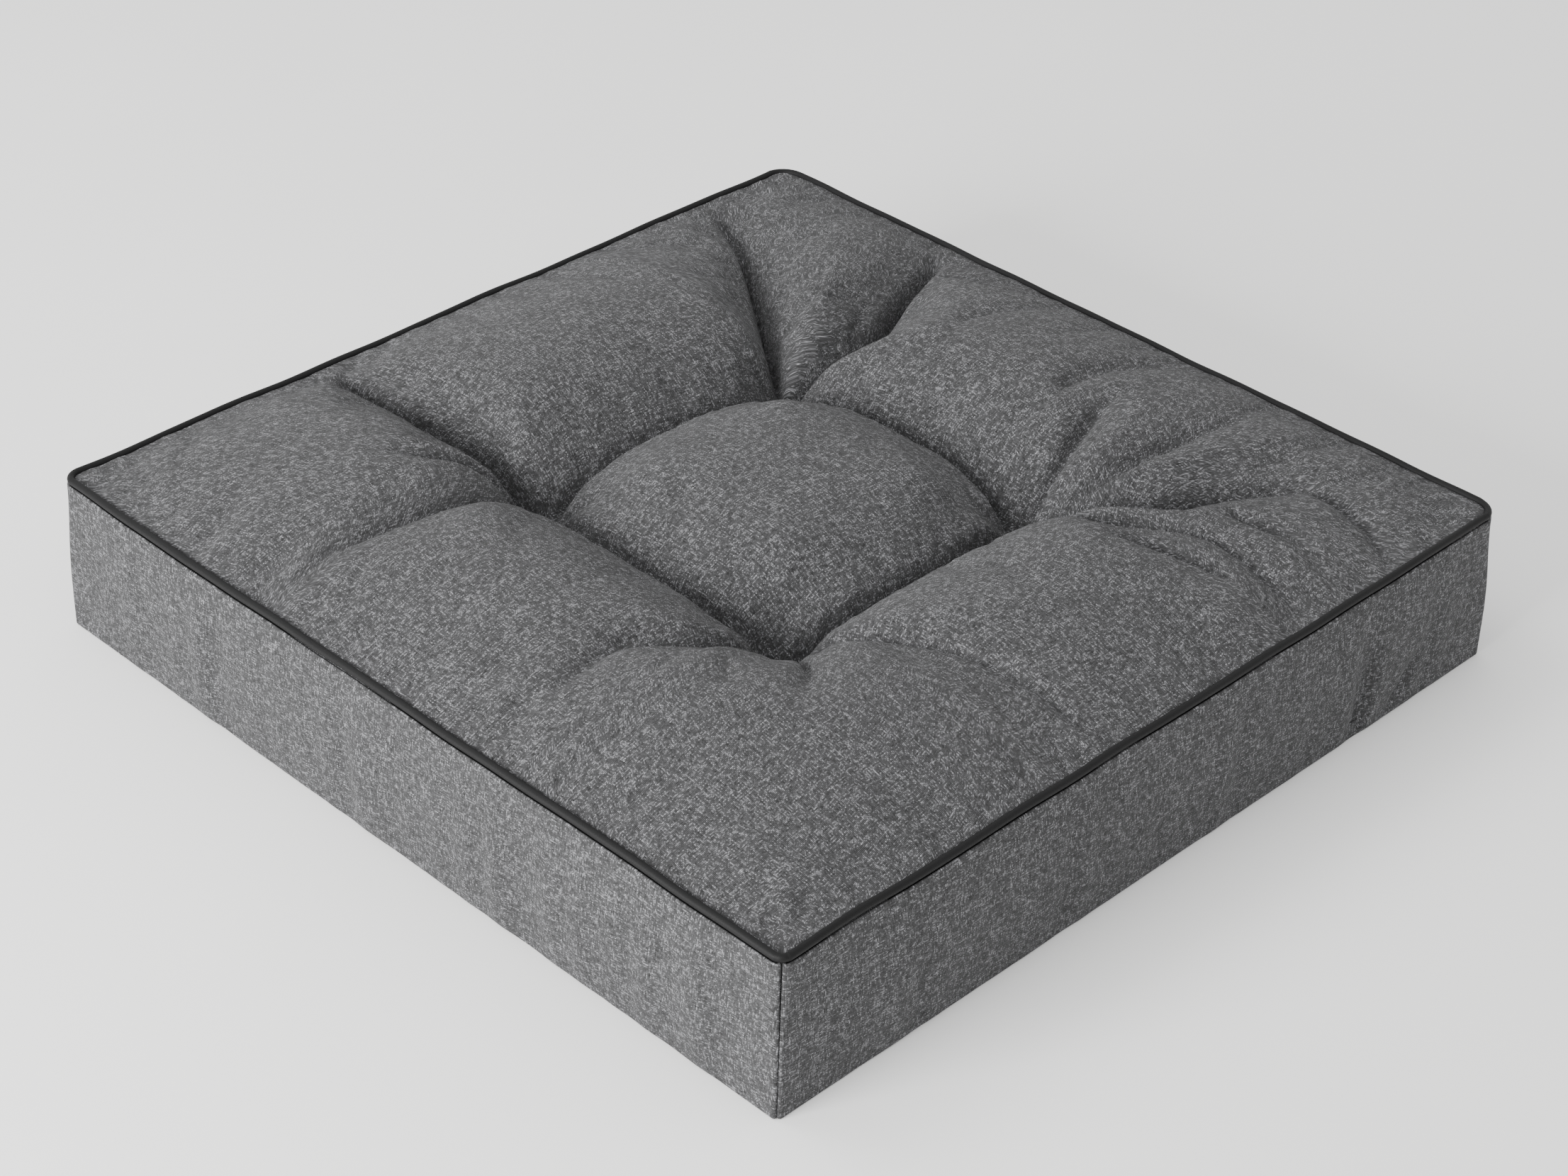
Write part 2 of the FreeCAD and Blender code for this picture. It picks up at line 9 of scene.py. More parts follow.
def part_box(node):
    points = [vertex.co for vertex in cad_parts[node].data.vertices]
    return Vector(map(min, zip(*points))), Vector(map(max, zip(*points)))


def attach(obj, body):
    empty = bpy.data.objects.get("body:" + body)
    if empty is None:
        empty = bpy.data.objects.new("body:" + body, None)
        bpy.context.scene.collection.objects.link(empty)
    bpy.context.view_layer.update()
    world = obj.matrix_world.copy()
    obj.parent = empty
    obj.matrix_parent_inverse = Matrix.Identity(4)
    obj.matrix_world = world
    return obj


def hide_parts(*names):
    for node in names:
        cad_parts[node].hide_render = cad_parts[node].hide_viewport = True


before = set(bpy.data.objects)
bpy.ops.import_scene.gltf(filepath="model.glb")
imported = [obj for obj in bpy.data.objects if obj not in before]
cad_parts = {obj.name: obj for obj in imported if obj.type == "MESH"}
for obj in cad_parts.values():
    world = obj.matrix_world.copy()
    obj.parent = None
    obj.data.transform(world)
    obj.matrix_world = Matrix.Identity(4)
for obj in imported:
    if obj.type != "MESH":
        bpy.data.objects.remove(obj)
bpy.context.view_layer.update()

scene = bpy.context.scene
mm = 0.001

# What the frame fixes: sides, seams, tufts and the filling's two halves.
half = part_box("band_front")[1].x
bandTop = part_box("band_front")[1].z
cordLow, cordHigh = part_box("piping_cord")
cordRadius = (cordHigh.z - cordLow.z) / 2
pipingZ = (cordHigh.z + cordLow.z) / 2
pipingInset = half - cordHigh.x + cordRadius
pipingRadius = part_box("piping_cover")[1].z - pipingZ
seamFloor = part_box("piping_cover")[0].z
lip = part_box("top_panel")[1].x
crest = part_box("top_panel")[1].z
foamLow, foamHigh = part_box("foam_base")
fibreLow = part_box("fibre_filling")[0]
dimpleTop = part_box("bottom_panel")[1].z
twineLow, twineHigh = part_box("tuft_twine_back_right")
tuft = (twineLow.x + twineHigh.x) / 2
quarters = {"front_left": (-1, -1), "front_right": (1, -1), "back_right": (1, 1), "back_left": (-1, 1)}

# How far each corner of the top edge is rounded by the tight piping, against the square floor edge.
corners = {"front_left": 7 * mm, "front_right": 16 * mm, "back_right": 19 * mm, "back_left": 12 * mm}
floorCorner = 3 * mm


# Meshes from whole arrays

def gridFaces(rows, columns, wrapColumns=False):
    # Quads between neighbouring rows and columns of points numbered row by row.
    index = np.arange(rows * columns).reshape(rows, columns)
    if wrapColumns:
        index = np.concatenate([index, index[:, :1]], axis=1)
    quads = [index[:-1, :-1], index[:-1, 1:], index[1:, 1:], index[1:, :-1]]
    return np.stack(quads, axis=-1).reshape(-1, 4)


def newPiece(name, points, faces, material, uv=None):
    # A smooth mesh object at the origin; uv holds one pair in metres for each point.
    mesh = bpy.data.meshes.new(name)
    faces = faces.tolist() if isinstance(faces, np.ndarray) else faces
    mesh.from_pydata(np.asarray(points).reshape(-1, 3).tolist(), [], faces)
    mesh.polygons.foreach_set("use_smooth", np.ones(len(mesh.polygons), bool))
    if uv is not None:
        corner = np.zeros(len(mesh.loops), np.int32)
        mesh.loops.foreach_get("vertex_index", corner)
        layer = mesh.uv_layers.new(name="cut")
        layer.data.foreach_set("uv", np.asarray(uv).reshape(-1, 2)[corner].astype(np.float32).ravel())
    mesh.materials.append(material)
    mesh.validate()
    piece = bpy.data.objects.new(name, mesh)
    scene.collection.objects.link(piece)
    return piece


def placesOf(mesh):
    # The places of a mesh's points, one row each.
    places = np.empty(3 * len(mesh.vertices), np.float32)
    mesh.vertices.foreach_get("co", places)
    return places.astype(float).reshape(-1, 3)


def finish(piece, replaced, thickness=0, offset=0, levels=0):
    # Last modifiers, then the body and the nodes that the piece stands for.
    if levels:
        subdivision = piece.modifiers.new("Subdivision", "SUBSURF")
        subdivision.levels = levels
        subdivision.render_levels = levels
    if thickness:
        cloth = piece.modifiers.new("Thickness", "SOLIDIFY")
        cloth.thickness = thickness
        cloth.offset = offset
    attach(piece, "root")
    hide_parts(*replaced)


def smoothStep(low, high, value):
    # 0 below low, 1 above high, and an S curve between.
    share = np.clip((value - low) / (high - low), 0, 1)
    return share * share * (3 - 2 * share)


def uneven(place, lengths, phase=0.0):
    # A sum of sines of unlike wavelengths, about -1 to 1, so that it doesn't seem to repeat.
    waves = [np.sin(2 * np.pi * place / length + phase * (k + 1) + k) for k, length in enumerate(lengths)]
    return sum(waves) / len(lengths)


def seamSway(x, y):
    # How far the top seam strays up and down, and sideways, at a place in the plan.
    rise = 0.55 * mm * uneven(x + 0.31 * y, (0.118, 0.067, 0.171), 0.6)
    rise += 0.45 * mm * uneven(y - 0.27 * x, (0.093, 0.151, 0.059), 1.9)
    aside = 0.6 * mm * uneven(x - 0.43 * y, (0.103, 0.176), 2.4)
    return rise, aside


def cumulative(points):
    # Distance along the first axis of an array of points.
    steps = np.linalg.norm(np.diff(points, axis=0), axis=-1)
    return np.concatenate([np.zeros_like(steps[:1]), np.cumsum(steps, axis=0)])


def unit(vectors):
    # Each vector divided by its own length.
    return vectors / np.linalg.norm(vectors, axis=-1, keepdims=True)


def fromTufts(x, y):
    # For each tuft its signs, how far east and north of it the places lie, and how far away.
    for signX, signY in quarters.values():
        east, north = x - signX * tuft, y - signY * tuft
        yield signX, signY, east, north, np.hypot(east, north)


# Materials

def linear(hexColour):
    # sRGB hex to linear light.
    parts = np.array([int(hexColour[k:k + 2], 16) for k in (1, 3, 5)]) / 255
    light = np.where(parts <= 0.04045, parts / 12.92, ((parts + 0.055) / 1.055) ** 2.4)
    return (*light.tolist(), 1.0)


def addNode(tree, kind, inputs, **settings):
    # One shader node with its settings. Each input is set, or linked to a socket or to the first
    # output of a node.
    node = tree.nodes.new("ShaderNode" + kind)
    for name, value in settings.items():
        setattr(node, name, value)
    for socket, source in inputs.items():
        source = source.outputs[0] if isinstance(source, bpy.types.Node) else source
        if isinstance(source, bpy.types.NodeSocket):
            tree.links.new(source, node.inputs[socket])
        else:
            node.inputs[socket].default_value = source
    return node


def setRamp(node, stops):
    # Colours of a ramp at their places from 0 to 1.
    ramp = node.color_ramp
    while len(ramp.elements) < len(stops):
        ramp.elements.new(0.5)
    for element, (place, colour) in zip(ramp.elements, stops):
        element.position = place
        element.color = linear(colour)


def newMaterial(name, roughness, ior, sheen=0.0, specular=0.5):
    # A node material with one surface shader and its constants.
    material = bpy.data.materials.new(name)
    material.use_nodes = True
    tree = material.node_tree
    tree.nodes.clear()
    shader = addNode(tree, "BsdfPrincipled", {
        "Roughness": roughness, "IOR": ior, "Sheen Weight": sheen, "Specular IOR Level": specular,
    })
    addNode(tree, "OutputMaterial", {"Surface": shader})
    return material, tree, shader


def dress(tree, shader, colour, height, strength, relief):
    # The surface's colour, and its bump from a height.
    tree.links.new(colour.outputs[0], shader.inputs["Base Color"])
    bump = addNode(tree, "Bump", {"Strength": strength, "Distance": relief, "Height": height})
    tree.links.new(bump.outputs[0], shader.inputs["Normal"])


melange = {
    "threadPitch": 0.8 * mm,      # the real cloth has about 0.7 to 0.8 mm
    "fleckLength": 3.6 * mm,      # a slub's run along its thread
    "slubs": 0.40,                # how much a pale slub shows where it runs under
    "dark": "#202020", "middle": "#444445", "light": "#929295",
    "crownShade": 0.60, "gapShade": 0.60,    # painted shade: the colour factor of a thread's crown, added to that of a gap
    "relief": 0.30 * mm,
}


def makeMelange():
    # Plain-woven melange polyester: dark and pale fibres spun in one yarn, so each thread changes
    # tone along its run and the cloth looks like fine linen; matt, with a faint fuzz at the edges.
    material, tree, shader = newMaterial("melange_plain_weave_polyester", 0.92, 1.5, 0.05, 0.25)
    cut = addNode(tree, "UVMap", {}, uv_map="cut")
    counted = addNode(tree, "VectorMath", {0: cut, "Scale": 1 / melange["threadPitch"]}, operation="SCALE")
    cell = addNode(tree, "VectorMath", {0: counted}, operation="FLOOR")
    inside = addNode(tree, "VectorMath", {0: counted}, operation="FRACTION")
    cellParts = addNode(tree, "SeparateXYZ", {0: cell}).outputs
    insideParts = addNode(tree, "SeparateXYZ", {0: inside}).outputs
    cutParts = addNode(tree, "SeparateXYZ", {0: cut}).outputs
    total = addNode(tree, "Math", {0: cellParts[0], 1: cellParts[1]}, operation="ADD")
    # Warp is on top where the counts add up to an even number, weft where they don't.
    weftOver = addNode(tree, "Math", {0: total, 1: 1.0}, operation="PINGPONG")
    rounds = []
    for part in insideParts[:2]:
        turned = addNode(tree, "Math", {0: part, 1: math.pi}, operation="MULTIPLY")
        rounds.append(addNode(tree, "Math", {0: turned}, operation="SINE"))
    across = addNode(tree, "Mix", {"Factor": weftOver, 2: rounds[0], 3: rounds[1]})
    along = addNode(tree, "Mix", {"Factor": weftOver, 2: rounds[1], 3: rounds[0]})
    bow = addNode(tree, "Math", {0: along, 1: 0.5, 2: 0.5}, operation="MULTIPLY_ADD")
    height = addNode(tree, "Math", {0: across, 1: bow}, operation="MULTIPLY")

    # Tone of a warp thread changes along V, of a weft thread along U; each thread has its own.
    tones = []
    for count, run, shift in ((cellParts[0], cutParts[1], 3.7), (cellParts[1], cutParts[0], 61.3)):
        thread = addNode(tree, "Math", {0: count, 1: 2.7}, operation="MULTIPLY")
        length = addNode(tree, "Math", {
            0: run, 1: 1 / melange["fleckLength"], 2: shift,
        }, operation="MULTIPLY_ADD")
        place = addNode(tree, "CombineXYZ", {0: thread, 1: length, 2: shift})
        tones.append(addNode(tree, "TexNoise", {"Vector": place, "Scale": 1.0, "Detail": 2.5}))
    over = addNode(tree, "Mix", {"Factor": weftOver, 2: tones[0], 3: tones[1]})
    # A pale slub is thick, so it shows between its crossings too and reads as a short line.
    paler = addNode(tree, "Math", {0: tones[0], 1: tones[1]}, operation="MAXIMUM")
    tone = addNode(tree, "Mix", {"Factor": melange["slubs"], 2: over, 3: paler})
    yarn = addNode(tree, "ValToRGB", {0: tone})
    setRamp(yarn, ((0.32, melange["dark"]), (0.54, melange["middle"]), (0.76, melange["light"])))

    # Broad, weak clouds where the yarn ran paler, and painted shade that darkens the colour down between the
    # threads.
    cloud = addNode(tree, "TexNoise", {"Vector": cut, "Scale": 38.0, "Detail": 3.0})
    cloudy = addNode(tree, "MapRange", {0: cloud, 1: 0.3, 2: 0.7, 3: 0.96, 4: 1.04})
    # Painted shade: the yarn colour is multiplied down where the weave's height is low, in the gaps between
    # threads.
    depth = addNode(tree, "Math", {
        0: height, 1: melange["crownShade"], 2: melange["gapShade"],
    }, operation="MULTIPLY_ADD")
    shade = addNode(tree, "Math", {0: cloudy, 1: depth}, operation="MULTIPLY")
    colour = addNode(tree, "VectorMath", {0: yarn, "Scale": shade}, operation="SCALE")
    fuller = addNode(tree, "Math", {0: tone, 1: 0.7, 2: height}, operation="MULTIPLY_ADD")
    dress(tree, shader, colour, fuller, 0.75, melange["relief"])
    return material


stripes = {
    # name: (roughness, ior, sheen, specular, pitch, dark, light, relief, slope of the stripe)
    "black_bias_twill": (0.60, 1.5, 0.0, 0.25, 0.8 * mm, "#020202", "#0A0A0B", 0.10 * mm, 1.0),
    "braided_cotton_cord": (0.85, 1.53, 0.20, 0.4, 1.1 * mm, "#B9B09E", "#E6DFD0", 0.25 * mm, 0.8),
    "waxed_polyester_twine": (0.45, 1.5, 0.05, 0.5, 0.35 * mm, "#1A1B1C", "#3D3E40", 0.08 * mm, 1.6),
}


def makeStriped(name):
    # Ribs that run aslant to the piece's length: twill lines on the bias strip, the laid strands
    # of a cord, the plies of a twine. Cotton is matt, wax gives the twine a soft gloss.
    roughness, ior, sheen, specular, pitch, dark, light, relief, slope = stripes[name]
    material, tree, shader = newMaterial(name, roughness, ior, sheen, specular)
    cut = addNode(tree, "UVMap", {}, uv_map="cut")
    parts = addNode(tree, "SeparateXYZ", {0: cut}).outputs
    slanted = addNode(tree, "Math", {0: parts[1], 1: slope, 2: parts[0]}, operation="MULTIPLY_ADD")
    turned = addNode(tree, "Math", {0: slanted, 1: 2 * math.pi / pitch}, operation="MULTIPLY")
    rib = addNode(tree, "Math", {0: turned}, operation="SINE")
    fray = addNode(tree, "TexNoise", {"Vector": cut, "Scale": 900.0, "Detail": 2.0})
    height = addNode(tree, "Math", {0: rib, 1: 0.3, 2: fray}, operation="MULTIPLY_ADD")
    tone = addNode(tree, "ValToRGB", {0: height})
    setRamp(tone, ((0.2, dark), (0.85, light)))
    dress(tree, shader, tone, height, 0.7, relief)
    return material


stuffing = {
    # name: (roughness, ior, grain across, grain along Z, dark, light, relief)
    "gapcell_polyurethane_foam": (0.95, 1.46, 700.0, 1.0, "#B8AA7A", "#E9DFB8", 0.5 * mm),
    "carded_polyester_fibre": (0.80, 1.57, 160.0, 5.0, "#C9CACB", "#F4F4F2", 2.5 * mm),
    "twisted_polyester_thread": (0.55, 1.57, 1500.0, 0.3, "#2C2D2F", "#4C4E50", 0.1 * mm),
}


def makeGrained(name):
    # Cells, fluff or twist as noise in the piece's own space: foam shows crumbly open cells,
    # carded fibre a drawn-out fluff, thread a fine twist.
    roughness, ior, grain, stretch, dark, light, relief = stuffing[name]
    material, tree, shader = newMaterial(name, roughness, ior, 0.15)
    place = addNode(tree, "TexCoord", {}).outputs["Object"]
    drawn = addNode(tree, "Mapping", {"Vector": place, "Scale": (1.0, 1.0, stretch)})
    noise = addNode(tree, "TexNoise", {"Vector": drawn, "Scale": grain, "Detail": 4.0, "Roughness": 0.65})
    tone = addNode(tree, "ValToRGB", {0: noise})
    setRamp(tone, ((0.3, dark), (0.7, light)))
    dress(tree, shader, tone, noise, 0.8, relief)
    return material


print("materials")
coverCloth = makeMelange()
pipingCloth = makeStriped("black_bias_twill")
cottonCord = makeStriped("braided_cotton_cord")
waxedTwine = makeStriped("waxed_polyester_twine")
foamCells = makeGrained("gapcell_polyurethane_foam")
fibreFluff = makeGrained("carded_polyester_fibre")
threadTwist = makeGrained("twisted_polyester_thread")


# The puffed top

topCloth = {
    "cells": 200,                 # grid cells each way; the cloth swells on half as many
    "thickness": 1.0 * mm,
    "crownPower": 3.2,            # squareness of the crown's profile
    "tuftFloor": 71 * mm,         # the cloth under the twine
    "wellRadius": 34 * mm,        # reach of a tuft's pull
    "nipRadius": 4.0 * mm,        # of the narrow fold at a crease's bottom
    "tightCreases": 8,            # the first of the list below hold the cloth down
    "middleDrop": 11 * mm,        # how far the middle puff stays below the crown
    "middleReach": 88 * mm,
    "middleRound": 16 * mm,       # how much lower its four corners are
    "gather": 0.9 * mm,           # short gathers round a tuft, in a ring this far out and this wide
    "gatherAt": 22 * mm, "gatherWidth": 13 * mm,
    "pucker": 1.6 * mm,           # small puckers at the piping, and how far in they reach
    "puckerReach": 11 * mm,
    "drag": 1.7 * mm,             # drag lines behind them
    "dragReach": 45 * mm,
    "creaseShare": 0.85,          # of the crown that a crease may take away near the seams
    "margin": 16 * mm,            # eased in and turned under at the seams, on each cut edge
}
# Creases in the cloth. Each has plan points in millimetres from a tuft outwards, the depth at each,
# the half width of the valley, the power of its sides (higher is fuller puffs and a sharper crease)
# and the depth of the narrow nip at its bottom.
creases = [
    # the four between the middle puff and its neighbours
    (((-100, 100), (-35, 105), (35, 105), (100, 100)), (52, 36, 36, 52), 100, 2.4, 7),
    (((100, 100), (107, 35), (107, -35), (100, -100)), (52, 36, 36, 52), 100, 2.4, 8),
    (((100, -100), (35, -107), (-35, -107), (-100, -100)), (52, 37, 37, 52), 100, 2.5, 10),
    (((-100, -100), (-108, -35), (-108, 35), (-100, 100)), (52, 36, 36, 52), 100, 2.4, 6),
    # tight ones, from the back and right tufts out to the edges
    (((-100, 100), (-101, 165), (-105, 225), (-108, 297)), (52, 37, 19, 3), 80, 3.4, 11),
    (((100, 100), (135, 150), (185, 220), (228, 297)), (52, 37, 19, 3), 80, 3.4, 11),
    (((100, 100), (165, 92), (230, 116), (294, 138)), (52, 37, 19, 3), 80, 3.4, 11),
    (((100, -100), (145, -158), (190, -183), (226, -214)), (52, 30, 21, 5), 72, 3.2, 8),
    # soft folds that fan out and die away
    (((100, -100), (137, -125), (190, -134), (248, -142)), (52, 20, 12, 3), 56, 2.3, 4),
    (((100, -100), (140, -95), (176, -86), (206, -80)), (52, 22, 11, 1), 56, 2.3, 4),
    (((100, -100), (104, -160), (130, -215), (125, -280)), (52, 18, 11, 3), 56, 2.2, 3),
    (((-100, -100), (-150, -88), (-190, -67), (-240, -73)), (52, 20, 11, 2), 58, 2.4, 4),
    (((-100, -100), (-80, -150), (-60, -210), (-50, -285)), (52, 18, 7, 1), 60, 2.2, 3),
    (((-100, -100), (-112, -122), (-132, -150), (-158, -172)), (52, 22, 9, 0), 46, 2.4, 5),
    (((-100, -100), (-96, -86), (-88, -78), (-74, -74)), (40, 16, 7, 0), 20, 1.8, 4),
    (((-100, 100), (-150, 105), (-210, 110), (-285, 112)), (52, 20, 10, 2), 58, 2.2, 3),
    (((-100, 100), (-122, 132), (-142, 149), (-165, 165)), (52, 22, 11, 0), 44, 2.4, 4),
    (((100, 100), (125, 97), (140, 102), (160, 118)), (52, 32, 16, 0), 34, 2.4, 5),
    (((218, -190), (222, -225), (218, -255), (203, -290)), (2, 8, 7, 2), 26, 1.9, 2),
    (((76, -165), (92, -195), (102, -227), (108, -262)), (4, 10, 8, 1), 34, 1.9, 2),
    (((150, -180), (160, -215), (165, -245), (160, -285)), (3, 8, 6, 1), 26, 1.9, 2),
    (((160, -60), (200, -52), (235, -55), (280, -70)), (3, 8, 6, 1), 28, 1.9, 2),
    (((165, 30), (205, 40), (240, 38), (285, 30)), (2, 5, 4, 1), 30, 1.8, 1),
    (((-150, -125), (-165, -120), (-175, -135), (-178, -150)), (1, 5, 4, 0), 26, 1.8, 1),
]


def throughPoints(points, count=40):
    # A Catmull-Rom curve through rows of numbers.
    rows = np.asarray(points, float)
    rows = np.vstack([2 * rows[0] - rows[1], rows, 2 * rows[-1] - rows[-2]])
    share = np.linspace(0, len(points) - 1, count)
    span = np.clip(share.astype(int), 0, len(points) - 2)
    t = (share - span)[:, None]
    before, start, end, after = (rows[span + k] for k in range(4))
    bend = (2 * before - 5 * start + 4 * end - after) * t ** 2
    bend += (3 * start - before - 3 * end + after) * t ** 3
    return 0.5 * (2 * start + (end - before) * t + bend)


def creaseFall(x, y, crease):
    # Fall at a distance d from the crease's curve: depth (1 - d / width) ^ power + nip exp(-(d / r)^2).
    points, depths, width, power, nip = crease
    curve = throughPoints([(*point, depth) for point, depth in zip(points, depths)]) * mm
    start, step = curve[:-1, :, None], np.diff(curve, axis=0)[:, :, None]
    place = np.stack([x.ravel(), y.ravel()])
    offset = place[None] - start[:, :2]
    share = np.clip((offset * step[:, :2]).sum(1) / (step[:, :2] ** 2).sum(1), 0, 1)
    away = np.linalg.norm(offset - share[:, None] * step[:, :2], axis=1)
    nearest = away.argmin(0)
    column = np.arange(away.shape[1])
    depth = (start[:, 2] + share * step[:, 2])[nearest, column]
    away = away[nearest, column]
    fall = depth * np.clip(1 - away / (width * mm), 0, 1) ** power
    narrow = np.exp(-(away / topCloth["nipRadius"]) ** 2) * smoothStep(0, 14 * mm, depth)
    return (fall + nip * mm * narrow).reshape(x.shape), away.reshape(x.shape)


def topHeight(x, y):
    # A crown, the product of two profiles 1 - |place / lip| ^ power, lower over the middle puff and
    # lower still at its corners, less the creases, joined by the eighth root of their summed eighth
    # powers, then drawn down to each tuft's floor.
    across = np.clip(1 - np.abs(x / lip) ** topCloth["crownPower"], 0, 1)
    along = np.clip(1 - np.abs(y / lip) ** topCloth["crownPower"], 0, 1)
    crown = (crest - pipingZ) * across * along
    out = np.hypot(x, y)
    inside = smoothStep(0, 30 * mm, 1.02 * tuft - np.maximum(np.abs(x), np.abs(y)))
    crown = crown - topCloth["middleDrop"] * np.exp(-(out / topCloth["middleReach"]) ** 4)
    crown = crown - topCloth["middleRound"] * inside * smoothStep(65 * mm, 125 * mm, out)
    edge = lip - np.maximum(np.abs(x), np.abs(y))
    fall = sum(creaseFall(x, y, crease)[0] ** 8 for crease in creases) ** 0.125
    # Near the seams a crease stays above the piping.
    spare = 12 * mm * smoothStep(8 * mm, 40 * mm, edge) + 80 * mm * smoothStep(60 * mm, 150 * mm, edge)
    fall = np.minimum(fall, topCloth["creaseShare"] * crown + spare)
    height = np.maximum(pipingZ + seamSway(x, y)[0] + crown - fall, topCloth["tuftFloor"])
    for signX, signY, east, north, away in fromTufts(x, y):
        pull = np.clip(1 - away / topCloth["wellRadius"], 0, 1) ** 2
        height = height * (1 - pull) + topCloth["tuftFloor"] * pull
        # Short gathers round the tuft, strongest a finger's width out.
        turn = np.arctan2(north, east) + 1.3 * signX + 0.7 * signY
        gather = np.sin(9 * turn + 2 * np.sin(2 * turn)) + 0.6 * np.sin(14 * turn + signX)
        ring = np.exp(-((away - topCloth["gatherAt"]) / topCloth["gatherWidth"]) ** 2)
        height += topCloth["gather"] * gather * ring
    # Small puckers where the cloth was eased on to the piping, and longer drag lines behind them.
    place = np.where(np.abs(x) > np.abs(y), y + 0.7 * np.sign(x), x + 1.9 * np.sign(y))
    pucker = uneven(place, (0.019, 0.031, 0.047), 0.8) * np.exp(-edge / topCloth["puckerReach"])
    drag = uneven(place, (0.067, 0.043, 0.101), 2.1) * np.exp(-edge / topCloth["dragReach"])
    height += topCloth["pucker"] * pucker * smoothStep(0, 6 * mm, edge)
    return height + topCloth["drag"] * drag * smoothStep(0, 20 * mm, edge)


def roundedGrid(cells, reach, cornerRadii, crowd=0.9):
    # A square grid with lines crowded towards the tufts, its corners squeezed on to quarter discs:
    # u and v stay square.
    fine = np.linspace(-1, 1, 2001)
    density = 1 + crowd * np.exp(-((np.abs(fine) * reach - 1.05 * tuft) / (0.24 * tuft)) ** 2)
    run = np.concatenate([[0], np.cumsum((density[1:] + density[:-1]) / 2)])
    line = np.interp(np.linspace(0, run[-1], cells + 1), run, fine) * reach
    x, y = np.meshgrid(line, line, indexing="xy")
    u, v = x.copy(), y.copy()
    for name, (signX, signY) in quarters.items():
        radius = cornerRadii[name]
        a = np.clip((signX * u - (reach - radius)) / radius, 0, 1)
        b = np.clip((signY * v - (reach - radius)) / radius, 0, 1)
        within = (a > 0) & (b > 0)
        x = np.where(within, signX * (reach - radius + radius * a * np.sqrt(1 - b * b / 2)), x)
        y = np.where(within, signY * (reach - radius + radius * b * np.sqrt(1 - a * a / 2)), y)
    return x, y, u, v


def borderOf(cells):
    # Point numbers round the grid's edge, anticlockwise seen from above.
    index = np.arange((cells + 1) ** 2).reshape(cells + 1, cells + 1)
    return np.concatenate([index[0, :-1], index[:-1, -1], index[-1, :0:-1], index[:0:-1, 0]])


def outwardOf(edge):
    # Directions in the plan at right angles to an anticlockwise ring of points.
    ahead = np.roll(edge, -1, axis=0) - np.roll(edge, 1, axis=0)
    return unit(np.stack([ahead[:, 1], -ahead[:, 0]], axis=-1))


def ringQuads(last, number):
    # Quads between two rings of point numbers.
    return np.stack([last, number, np.roll(number, -1), np.roll(last, -1)], axis=-1)


def addRim(points, faces, uv, border, outwards, heights):
    # Rings that carry a grid's edge on, each moved outwards in the plan and up from the edge.
    # Returns the last ring's numbers as well.
    edge = points[border]
    outward = outwardOf(edge)
    rings, ringUv, last = [], [], border
    run = 0.0
    for reach, height in zip(outwards, heights):
        ring = edge.copy()
        ring[:, :2] += outward * reach
        ring[:, 2] += height
        previous = rings[-1] if rings else edge
        run = run + np.linalg.norm(ring - previous, axis=1)[:, None]
        number = len(points) + sum(len(r) for r in rings) + np.arange(len(border))
        faces = np.concatenate([faces, ringQuads(last, number)])
        rings.append(ring)
        ringUv.append(uv[border] + outward * run)
        last = number
    return np.concatenate([points, *rings]), faces, np.concatenate([uv, *ringUv]), last


inflation = {
    "frames": 20,
    "cap": 9 * mm,                # no point moves further than this
    "settings": {                 # the simulation's own; a shrink below zero gives slack cloth
        "quality": 6, "mass": 0.3, "vertex_group_mass": "held",
        "use_pressure": True, "uniform_pressure_force": 4.0, "shrink_min": -0.015, "shrink_max": -0.015,
        "tension_stiffness": 18.0, "compression_stiffness": 18.0, "bending_stiffness": 0.4,
    },
}


def inflate(piece, weights):
    # The cloth swells under pressure from below, held where the weights say. Returns how each
    # point moved, shortened to the cap.
    rest = placesOf(piece.data)
    group = piece.vertex_groups.new(name="held")
    levels = np.round(weights * 10).astype(int)
    for level in np.unique(levels[levels > 0]):
        group.add(np.nonzero(levels == level)[0].tolist(), level / 10, "REPLACE")
    cloth = piece.modifiers.new("Cloth", "CLOTH")
    for name, value in inflation["settings"].items():
        setattr(cloth.settings, name, value)
    cloth.settings.effector_weights.gravity = 0
    cloth.collision_settings.use_collision = False
    for step in range(1, inflation["frames"] + 1):
        scene.frame_set(step)
    swollen = piece.evaluated_get(bpy.context.evaluated_depsgraph_get())
    moved = placesOf(swollen.data) - rest
    piece.modifiers.remove(cloth)
    piece.vertex_groups.clear()
    scene.frame_set(1)
    length = np.linalg.norm(moved, axis=1, keepdims=True)
    print(f"inflated: moved {length.mean() * 1000:.1f} mm on average, {length.max() * 1000:.1f} mm at most")
    # A soft limit, so that no edge shows where the cap begins.
    return moved * np.tanh(length / inflation["cap"]) * inflation["cap"] / np.maximum(length, 1e-9)


def refined(field):
    # A grid of vectors with a middle one put in between each two neighbours, both ways.
    for axis in (0, 1):
        field = np.moveaxis(field, axis, 0)
        finer = np.empty((2 * len(field) - 1, *field.shape[1:]))
        finer[::2] = field
        finer[1::2] = (field[:-1] + field[1:]) / 2
        field = np.moveaxis(finer, 0, axis)
    return field


